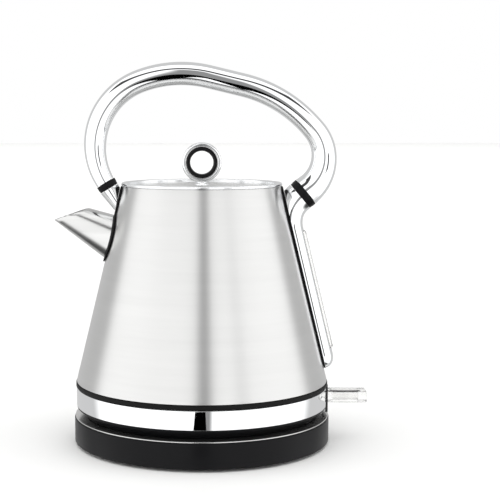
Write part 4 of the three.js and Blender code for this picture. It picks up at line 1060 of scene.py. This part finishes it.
class KETTLE_OT_band(bpy.types.Operator):
    """Builds the gasket, the chrome band, the moulded underbody and the control's socket"""

    bl_idname = "kettle.band"
    bl_label = "Band and underbody"

    def execute(self, context):
        low = SEAT + 20.1
        gasket = lathe("band_seal", rounded([
            (85.9, low), (88.1, low, 0.3), (88.4, low + 0.5, 0.3), (88.4, low + 2.5, 0.3),
            (88.1, low + 3.0, 0.3),
            (85.9, low + 3.0)]), FINISH["rubber"], 224)
        fitted(gasket, "kettle", "black_rubber", "band_gasket")

        half = math.asin(13.3 / 88)
        foot, top = SEAT + 6.9, SEAT + 19.8
        band = lathe("chrome_band_sheet", rounded([
            (87.2, foot), (88.0, foot, 0.35), (88.0, top, 0.5), (86.4, top, 0.2), (86.4, top - 0.8),
            (87.2, top - 0.8)]),
            FINISH["chrome"], 224, span=(half, TAU - half))
        fitted(band, "kettle", "polished_chrome", "chrome_band")
        self.build_underbody()
        self.build_control()
        return {"FINISHED"}

    def build_underbody(self):
        s = SEAT
        one, two = 22.4 + 1.3, 25.0 + 0.8
        outline = rounded([
            (20.5, two), (33.0, two, 0.6), (33.0, one, 0.6), (57.5, one, 0.8), (57.5, s, 0.6),
            (81.4, s, 1.2),
            (87.5, s + 5.6, 1.2), (88.0, s + 6.6, 0.3), (86.9, s + 6.6), (86.9, s + 18.7),
            (85.9, s + 18.7),
            (85.9, s + 8.6), (81.0, s + 2.0), (59.5, s + 2.0), (59.5, one + 2.0), (35.0, one + 2.0),
            (35.0, two + 2.0), (20.5, two + 2.0)])
        body = lathe("underbody_moulding", outline, FINISH["plastic"], 224)
        bosses, wells = [], []
        for k in range(3):
            a = math.radians(90 + 120 * k)
            spot = (77.8 * math.cos(a), 77.8 * math.sin(a))
            bosses.append(rod("boss", 5, s + 1, s + 17.1, 40, spot))
            wells.append(rod("well", 3.8, s - 1, s + 3.2, 40, spot))
            wells.append(rod("well", 2.2, s, s + 19, 32, spot))
        combined(body, bosses, "UNION")
        wells.append(box("lever_slot", (82.6, -8.0, LEVER_FOOT - 2.7), (94.0, 8.0, LEVER_TOP + 1), None))
        bed = lathe("bed", [(86.9, s + 1), (90.0, s + 1), (90.0, s + 7.6), (86.9, s + 7.6)], None, 224,
                    span=(-math.asin(13.3 / 88), math.asin(13.3 / 88)))
        wells.append(bed)
        combined(body, wells)
        fitted(body, "kettle", "black_plastic", "underbody")
        screw = screw_with_recess("underbody_screws", s + 1.2, None, length=19.2)
        screws = grown(screw, ring_tree_once(), {
            "Count": 3, "Circle Radius": 0.0778, "Start Angle": math.radians(90),
            "Material": FINISH["zinc"]})
        names = [f"underbody_screw_{k}" for k in (1, 2, 3)]
        fitted(screws, "kettle", "screw_steel", *names)

    def build_control(self):
        """The round socket under the kettle with its pin and two contact rings."""
        two, roof, slot = 25.8, 41.5, 44.7
        top = SEAT + 36.6 - 3.0 - 0.3
        outline = rounded([
            (0.0, slot), (1.9, slot), (1.9, roof, 0.3), (5.9, roof, 0.2), (5.9, slot), (7.3, slot),
            (7.3, roof, 0.2),
            (9.5, roof, 0.2), (9.5, slot), (10.9, slot), (10.9, roof, 0.2), (13.6, roof, 0.5),
            (13.6, 30.3),
            (17.8, two, 0.8), (20.2, two, 0.5), (20.2, two + 2.3), (29.0, two + 2.3), (29.0, top),
            (0.0, top)])
        housing = lathe("control_moulding", outline, FINISH["gloss_plastic"], 96)
        ears, cuts = [], []
        x, z = 33.0, (LEVER_TOP + LEVER_FOOT) / 2
        for side in (-1, 1):
            near, far = sorted((side * 3.8, side * 6.0))
            lows, highs = (26.0, near, z - 3), (36.0, far, z + 3)
            ears.append(box("ear", lows, highs, None))
            place = (0.0, side * 15.0)
            cuts.append(rod("pocket", 10.2, top - 2, top + 1, 48, place))
        combined(housing, ears, "UNION")
        bore = rod("bore", 1.5, -9, 9, 24)
        bore.data.transform(rotation_to_y((x, 0, z)))
        combined(housing, [*cuts, bore])
        fitted(housing, "kettle", "black_plastic", "control_housing")
        for name, inner, outer, node_name in (("socket_pin", 0.0, 1.6, "socket_live_pin"),
                                               ("neutral_sleeve", 6.2, 7.0, "socket_neutral_ring"),
                                               ("earth_sleeve", 9.8, 10.6, "socket_earth_ring")):
            low, high = roof - 8.5, slot - GAP
            ring = lathe(name, rounded([(inner, low), (outer, low, 0.25), (outer, high), (inner, high)]),
                         FINISH["brass"], 48)
            fitted(ring, "kettle", "contact_brass", node_name)


class KETTLE_OT_switch(bpy.types.Operator):
    """Builds the switch: bezel and clear lever"""

    bl_idname = "kettle.switch"
    bl_label = "Switch"

    def execute(self, context):
        s = SEAT
        half = math.asin(13.0 / 88.9)
        bezel = lathe("bezel_moulding", rounded([
            (87.2, s + 2.0), (88.9, s + 2.0, 0.4), (88.9, s + 19.8, 0.4), (87.2, s + 19.8)]),
            FINISH["gloss_plastic"], 360, span=(-half, half))
        slot = box("slot", (60.0, -8.0, LEVER_FOOT - 2.7), (94.0, 8.0, LEVER_TOP + 1.0), None)
        combined(bezel, [slot])
        fitted(bezel, "kettle", "black_plastic", "switch_bezel")

        x, z = PIVOT
        paddle = box("paddle", (84.6, -7.5, LEVER_FOOT), (116.0, 7.5, LEVER_TOP), FINISH["clear"])
        hollow = box("hollow", (92.0, -6.1, LEVER_FOOT - 1), (110.0, 6.1, LEVER_TOP - 1.4), None)
        bevelled(paddle, 0.9, 3)
        arm = box("arm", (70.0, -4.0, LEVER_FOOT + 1.5), (86.0, 4.0, LEVER_TOP - 1.5), None)
        hub = rod("hub", 4.15, -4, 4, 48)
        hub.data.transform(rotation_to_y((x, 0, z)))
        bore = rod("bore", 1.9, -20, 20, 32)
        bore.data.transform(rotation_to_y((x, 0, z)))
        combined(paddle, [arm, hub], "UNION")
        combined(paddle, [hollow, bore])
        paddle.name = "clear_lever"
        fitted(paddle, "switch_lever", "clear_plastic", "switch_lever")
        return {"FINISHED"}


class KETTLE_OT_handle(bpy.types.Operator):
    """Builds the hoop handle, its collars and brackets, and the water gauge"""

    bl_idname = "kettle.handle"
    bl_label = "Handle"

    def execute(self, context):
        hoop = Hoop()
        line = hoop.line
        lengths = np.cumsum([0.0] + [math.dist(a[:2], b[:2]) for a, b in zip(line, line[1:])])
        stations = []
        for (x, z, heading), length in zip(line, lengths):
            radius = hoop.radius_at(length / lengths[-1])
            stations.append((x, z, heading, radius, radius))
        tube = swept("hoop_tube", stations, FINISH["chrome"], 56, hollow=0.84)
        fitted(tube, "kettle", "polished_chrome", "handle_tube")
        front = self.collar("front_collar_moulding", hoop.START, hoop.front_way, 7.1, 4.7, 4.6)
        fitted(front, "kettle", "black_plastic", "front_collar")
        rear = self.collar("rear_collar_moulding", hoop.end, hoop.rear_way, 10.8, 5.0, 7.6)
        fitted(rear, "kettle", "black_plastic", "rear_collar")
        self.build_front_bracket(hoop)
        self.build_rear_bracket(hoop)
        self.build_gauge()
        return {"FINISHED"}

    def collar(self, name, end, way, radius, length, spigot):
        """A collar with a shallow middle groove and the spigot that enters the tube."""
        outline = rounded([
            (0.0, -4.0), (spigot, -4.0, 0.4), (spigot, GAP), (radius, GAP, 0.4),
            (radius, GAP + length * 0.62, 0.1),
            (radius - 0.25, GAP + length * 0.66, 0.1), (radius - 0.25, GAP + length, 0.3),
            (0.0, GAP + length)])
        return turned_along(name, outline, end, way, FINISH["plastic"], 64)

    def build_front_bracket(self, hoop):
        way = hoop.front_way
        start = (hoop.START[0] + way[0] * 5.3, hoop.START[1] + way[1] * 5.3)
        across = (-way[1], way[0])
        sides, rows = 96, []
        for j in range(sides):
            a = TAU * j / sides

            def at(d, a=a):
                radius = 7.1 - 5.0 * d / 32.0
                u, v = radius * math.cos(a), radius * math.sin(a)
                return (start[0] + way[0] * d + across[0] * u, v, start[1] + way[1] * d + across[1] * u)

            end = first_root(lambda d: beyond_cone(at(d), SADDLE), 0.0, 31.5)
            rows.append([at(end * s) for s in np.linspace(0, 1, 16)])
        points = [p for row in rows for p in row]
        count = len(rows[0])
        faces = grid_faces(sides, count, True, False)
        faces.append([j * count for j in range(sides)])
        middle = np.mean([row[-1] for row in rows], axis=0)
        points.append(tuple(middle))
        hub = len(points) - 1
        faces += [
            [j * count + count - 1, ((j + 1) % sides) * count + count - 1, hub] for j in range(sides)]
        made = piece("front_bracket_casting", points, faces, FINISH["chrome"], 40)
        fitted(made, "kettle", "polished_chrome", "front_bracket")

    def build_rear_bracket(self, hoop):
        """Sweeps from the collar into a spine that runs down the rear wall."""
        way = hoop.rear_way
        start = np.array([hoop.end[0] + way[0] * 5.6, hoop.end[1] + way[1] * 5.6])
        first = start + np.array(way) * 9.0
        head_z = CONE_FOOT + 105.0
        down = np.array([math.sin(LEAN), -math.cos(LEAN)])
        head = np.array([cone_radius(head_z), head_z])
        before = head - down * 10.0
        low_z = CONE_FOOT + 8.0
        foot = np.array([cone_radius(low_z), low_z])
        line = []
        for t in np.linspace(0, 1, 40):
            u = 1 - t
            line.append(u ** 3 * start + 3 * u * u * t * first + 3 * u * t * t * before + t ** 3 * head)
        bend = sum(np.linalg.norm(b - a) for a, b in zip(line, line[1:]))
        line += [head + (foot - head) * t for t in np.linspace(0, 1, 60)[1:-12]]
        tail_from = line[-1]
        eased = [math.sin(t * math.pi / 2) for t in np.linspace(0, 1, 22)[1:]]
        line += [tail_from + (foot - tail_from) * t for t in eased]
        total = sum(np.linalg.norm(b - a) for a, b in zip(line, line[1:]))
        stations, gone = [], 0.0
        for i, here in enumerate(line):
            if i:
                gone += float(np.linalg.norm(here - line[i - 1]))
            ahead = line[min(i + 1, len(line) - 1)] - line[max(i - 1, 0)]
            heading = math.atan2(ahead[1], ahead[0])
            t = min(1.0, gone / bend)
            blend = t * t * (3 - 2 * t)
            depth, width = 10.8 + (8.6 - 10.8) * blend, 10.8 + (10.0 - 10.8) * blend
            left = min(1.0, (total - gone) / 8.6)
            end = 0.3 + 0.7 * math.sqrt(max(0.0, 1 - (1 - left) ** 2))
            stations.append((here[0], here[1], heading, depth * end, width * end))
        body = swept("rear_bracket_casting", stations, FINISH["chrome"], 64)
        low, high = CONE_FOOT + 21 - GAP, CONE_FOOT + 103 + GAP
        cuts = [cone_cutter(SADDLE), rear_wall((0.0, 17.6), 4.8, low, high, "gauge_slot")]
        combined(body, cuts, sharp=38.0)
        fitted(body, "kettle", "polished_chrome", "rear_bracket")

        top, bottom = RIM_TOP - 2.8, low_z
        centre = (top + bottom) / 2

        def outline(a):
            return squircle(a, 9.6, (top - bottom) / 2, centre)

        def middle(a):
            return squircle(a, 0.4, (top - bottom) / 2 - 9.6, centre)

        seal = cone_patch("spine_gasket", outline, middle, 1, GAP, GAP + 1.0, 0.3, FINISH["rubber"])
        combined(seal, [wall_bar("hole", 3.3, -4.0, 4.0, height) for height in port_heights()])
        fitted(seal, "kettle", "black_rubber", "rear_bracket_seal")

    def build_gauge(self):
        """A hollow clear strip with raised level lines; two ports join it to the water."""
        _, sizes, _ = settings()
        low, high = CONE_FOOT + 21.0, CONE_FOOT + 103.0
        strip = bevelled(rear_wall((SADDLE, 9.6), 4.5, low, high, "gauge_strip", FINISH["clear"]), 1.1, 3)
        ports = [wall_bar("port", 3.0, -1.3, 2.2, height) for height in port_heights()]
        combined(strip, ports, "UNION")
        hollow = rear_wall((3.4, 7.8), 2.7, low + 2.5, high - 2.5, "hollow")
        bores = [wall_bar("port", 1.8, -6.0, 5.6, height) for height in port_heights()]
        combined(strip, [hollow, *bores])
        lines = []
        for height in np.linspace(low + 8.0, high - 8.0, sizes.gauge_marks):
            line = rear_wall((9.5, 9.85), 2.2, height - 0.3, height + 0.3, "level_line", FINISH["clear"])
            lines.append(line)
        joined(strip, lines)
        fitted(strip, "kettle", "clear_plastic", "water_gauge")


class KETTLE_OT_lid(bpy.types.Operator):
    """Builds the lift-off lid with its plug, gasket and ring knob"""

    bl_idname = "kettle.lid"
    bl_label = "Lid"

    def execute(self, context):
        z = LID_TOP
        cap = lathe("lid_disc", rounded([
            (0.0, z - 0.8), (50.6, z - 0.8, 0.5), (50.6, z - 3.7), (51.4, z - 3.7), (51.4, z, 0.9),
            (20.0, z), (0.0, z)]),
            FINISH["ring_steel"], 192)
        hole = rod("hole", 2.2, z - 20, z + 4, 32)
        combined(cap, [hole])
        fitted(cap, "lid", "polished_chrome", "lid_cap")
        seat = z - 2.2
        plug = lathe("lid_plug_cup", rounded([
            (0.0, seat), (44.8, seat, 0.8), (44.8, seat - 12.5), (46.4, seat - 12.5), (46.4, seat),
            (50.3, seat),
            (50.3, z - 1.1), (0.0, z - 1.1)]), FINISH["inner_steel"], 160)
        combined(plug, [rod("hole", 2.2, z - 20, z + 4, 32)])
        fitted(plug, "lid", "brushed_steel", "lid_plug")
        gasket = lathe("lid_lip_seal", rounded([
            (46.7, z - 3.7, 0.2), (50.3, z - 3.7, 0.5), (50.3, z - 2.5, 0.2), (46.7, z - 2.5, 0.2)]),
            FINISH["silicone"], 160)
        fitted(gasket, "lid", "grey_silicone", "lid_gasket")
        self.build_knob(z)
        return {"FINISHED"}

    def build_knob(self, z):
        centre = z + 16.3
        ring = lathe("ring_knob", rounded([
            (11.3, -4.0, 0.5), (13.85, -4.0, 1.3), (13.85, 4.0, 1.3), (11.3, 4.0, 0.5)]),
            FINISH["chrome"], 112)
        ring.data.transform(rotation_to_y((0, 0, centre)))
        stem = lathe("stem", rounded([
            (0.0, z + GAP), (5.1, z + GAP, 0.2), (4.8, z + 1.2, 0.5), (4.0, z + 2.0, 0.6),
            (4.0, z + 4.35), (0.0, z + 4.35)]),
            None, 48)
        combined(ring, [stem], "UNION")
        combined(ring, [rod("hole", 2.2, z - 20, z + 3.95, 32)])
        fitted(ring, "lid", "polished_chrome", "lid_knob")
        insert = lathe("knob_insert_ring", rounded([
            (8.05, -4.4, 0.6), (11.0, -4.4, 0.4), (11.0, 4.4, 0.4), (8.05, 4.4, 0.6)]),
            FINISH["gloss_plastic"], 96)
        insert.data.transform(rotation_to_y((0, 0, centre)))
        fitted(insert, "lid", "black_plastic", "knob_insert")
        seat = z - 2.5
        screw = screw_with_recess("knob_screw_head", seat - 2.2, FINISH["zinc"], tall=2.2, length=8.3)
        fitted(screw, "lid", "screw_steel", "knob_screw")


class KETTLE_OT_inner_parts(bpy.types.Operator):
    """Gives the sealed inner pieces their finishes"""

    bl_idname = "kettle.inner_parts"
    bl_label = "Inner parts"

    FINISHES = {
        "aluminium": ("heat_diffuser", "heating_element"),
        "brass": ("bimetal_disc_1", "bimetal_disc_2", "steam_bimetal"),
        "inner_steel": ("steam_tube",),
        "zinc": ("lever_pivot_pin", "trip_pivot_pin", "handle_screw_front", "handle_screw_rear"),
        "plastic": ("trip_lever",),
        "lamp": ("indicator_lamp",),
    }

    def execute(self, context):
        for finish, names in self.FINISHES.items():
            for name in names:
                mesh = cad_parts[name].data
                mesh.materials.clear()
                mesh.materials.append(FINISH[finish])
        return {"FINISHED"}


# ---- Studio -------------------------------------------------------------------------------------------
def floor_flag(name, near, far, left, right):
    """A dark wedge on the table in front of the base, seen only in reflections; angles in degrees."""
    points = [(y * math.tan(math.radians(a)), -y, 0.0015) for y, a in
              ((near, left), (near, right), (far, right), (far, left))]
    mesh = bpy.data.meshes.new(name)
    mesh.from_pydata(points, [], [[0, 1, 2, 3]])
    made = bpy.data.objects.new(name, mesh)
    bpy.context.scene.collection.objects.link(made)
    paint, _, _ = material("black_flag_cloth", {"Base Color": linear("020202"), "Roughness": 1.0,
                                                "Specular IOR Level": 0.0})
    mesh.materials.append(paint)
    made.visible_camera = False
    made.visible_diffuse = False
    made.visible_shadow = False
    made.visible_transmission = False


def lamp(name, middle, size, power, aim=(0.0, 0.0, 0.14)):
    """A soft rectangular lamp that doesn't show in reflections."""
    light = bpy.data.lights.new(name, "AREA")
    light.shape = "RECTANGLE"
    light.size, light.size_y = size
    light.energy = power
    made = bpy.data.objects.new(name, light)
    bpy.context.scene.collection.objects.link(made)
    made.location = middle
    made.rotation_euler = (Vector(aim) - Vector(middle)).to_track_quat("-Z", "Y").to_euler()
    made.visible_glossy = False
    return made


def inside(tree, value, low, high, soft):
    """1 where the value lies between two limits, with soft edges."""
    rise = node(tree, "ShaderNodeMapRange", {"From Min": low - soft, "From Max": low + soft},
                {"Value": value}, interpolation_type="SMOOTHSTEP")
    fall = node(tree, "ShaderNodeMapRange", {"From Min": high - soft, "From Max": high + soft,
                                             "To Min": 1.0, "To Max": 0.0},
                {"Value": value}, interpolation_type="SMOOTHSTEP")
    return math_node(tree, "MULTIPLY", rise.outputs["Result"], fall.outputs["Result"])


def studio_world(front, back, windows):
    """A soft light tent: bright in front, greyer behind, with dark gaps between its panels.

    Each window is (left, right, low, high, soft, level): degrees round from the camera's side,
    degrees above the table, and the brightness left in the gap."""
    world = bpy.data.worlds.new("light_tent")
    world.use_nodes = True
    tree = world.node_tree
    facing = node(tree, "ShaderNodeTexCoord").outputs["Generated"]
    way = node(tree, "ShaderNodeSeparateXYZ", links={"Vector": facing})
    ahead = math_node(tree, "MULTIPLY", way.outputs["Y"], -1.0)
    round_angle = math_node(tree, "DEGREES", math_node(tree, "ARCTAN2", way.outputs["X"], ahead))
    rise_angle = math_node(tree, "DEGREES", math_node(tree, "ARCSINE", way.outputs["Z"]))
    behind = node(tree, "ShaderNodeMapRange",
                  {"From Min": 100.0, "From Max": 117.0, "To Min": front, "To Max": back},
                  {"Value": math_node(tree, "ABSOLUTE", round_angle)}, interpolation_type="SMOOTHSTEP")
    level = behind.outputs["Result"]
    for left, right, low, high, soft, remains in windows:
        gap = math_node(tree, "MULTIPLY", inside(tree, round_angle, left, right, soft),
                        inside(tree, rise_angle, low, high, soft))
        kept = math_node(tree, "SUBTRACT", 1.0, math_node(tree, "MULTIPLY", gap, 1.0 - remains))
        level = math_node(tree, "MULTIPLY", level, kept)
    seen = node(tree, "ShaderNodeLightPath").outputs["Is Camera Ray"]
    strength = node(tree, "ShaderNodeMix", data_type="FLOAT", links={"Factor": seen, "A": level})
    strength.inputs["B"].default_value = 1.0
    background = tree.nodes["Background"]
    background.inputs["Color"].default_value = (1, 1, 1, 1)
    tree.links.new(strength.outputs[0], background.inputs["Strength"])
    bpy.context.scene.world = world


class KETTLE_OT_stage(bpy.types.Operator):
    """Sets up the pale floor, the light tent, the lamp and the camera"""

    bl_idname = "kettle.stage"
    bl_label = "Studio"

    def execute(self, context):
        studio = settings()[2]
        scene = context.scene
        scene.view_settings.view_transform = "Standard"
        self.build_floor()
        studio_world(1.36, 0.64, [
            (-3.5, 8.5, -40.0, 34.0, 2.5, 0.22),  # behind the camera
            (31.0, 42.0, -5.0, 5.5, 1.0, 0.02),
            (-75.0, 75.0, 40.0, 54.0, 1.5, 0.05),  # under the overhead panel
            (-200.0, 200.0, -100.0, -42.0, 5.0, 0.06),  # the dark table below
        ])
        floor_flag("table_flag", 0.12, 1.5, -5.3, 2.9)
        lamp("overhead_softbox", (0.0, 3.0, 2.6), (8.0, 12.0), 122, (0.0, 3.0, 0.0))

        camera = bpy.data.cameras.new("camera")
        camera.lens = studio.lens
        camera.shift_x = studio.shift
        made = bpy.data.objects.new("camera", camera)
        scene.collection.objects.link(made)
        made.location = (0.0, -studio.distance, studio.height)
        made.rotation_euler = (math.pi / 2 - studio.pitch, 0.0, 0.0)
        scene.camera = made
        return {"FINISHED"}

    def build_floor(self):
        """A level floor of matte white paper."""
        mesh = bpy.data.meshes.new("studio_floor")
        mesh.from_pydata([(-8, -6, 0), (8, -6, 0), (8, 10, 0), (-8, 10, 0)], [], [[0, 1, 2, 3]])
        floor = bpy.data.objects.new("studio_floor", mesh)
        bpy.context.scene.collection.objects.link(floor)
        paint, tree, shader = material("matte_white_paper", {"Base Color": linear("F6F6F5")})
        place = node(tree, "ShaderNodeTexCoord").outputs["Object"]
        fibre = stretched_noise(tree, place, (400.0,) * 3, 2.0)
        tree.links.new(spread(tree, fibre, 0.85, 0.95), shader.inputs["Roughness"])
        mesh.materials.append(paint)
        floor.visible_glossy = False


OPERATORS = (
    KETTLE_OT_power_base, KETTLE_OT_connector, KETTLE_OT_body, KETTLE_OT_spout, KETTLE_OT_band,
    KETTLE_OT_switch, KETTLE_OT_handle, KETTLE_OT_lid, KETTLE_OT_inner_parts, KETTLE_OT_stage,
)


class KETTLE_PT_panel(bpy.types.Panel):
    """Lists the kettle's settings and the operators that build it"""

    bl_idname = "KETTLE_PT_panel"
    bl_label = "Kettle"
    bl_space_type = "VIEW_3D"
    bl_region_type = "UI"
    bl_category = "Kettle"

    def draw(self, context):
        for group in settings():
            column = self.layout.column(align=True)
            for key in group.bl_rna.properties.keys():
                if key not in {"rna_type", "name"}:
                    column.prop(group, key)
        for operator in OPERATORS:
            self.layout.operator(operator.bl_idname)


GROUPS = (KettleFinishes, KettleSizes, KettleStudio)


def register():
    for made in (*GROUPS, *OPERATORS, KETTLE_PT_panel):
        bpy.utils.register_class(made)
    bpy.types.Scene.kettle_finishes = bpy.props.PointerProperty(type=KettleFinishes)
    bpy.types.Scene.kettle_sizes = bpy.props.PointerProperty(type=KettleSizes)
    bpy.types.Scene.kettle_studio = bpy.props.PointerProperty(type=KettleStudio)


def unregister():
    del bpy.types.Scene.kettle_studio
    del bpy.types.Scene.kettle_sizes
    del bpy.types.Scene.kettle_finishes
    for made in reversed((*GROUPS, *OPERATORS, KETTLE_PT_panel)):
        bpy.utils.unregister_class(made)


def main():
    register()
    FINISH.update(make_materials(settings()[0]))
    for operator in OPERATORS:
        group, name = operator.bl_idname.split(".")
        getattr(getattr(bpy.ops, group), name)()


if __name__ == "__main__":
    main()
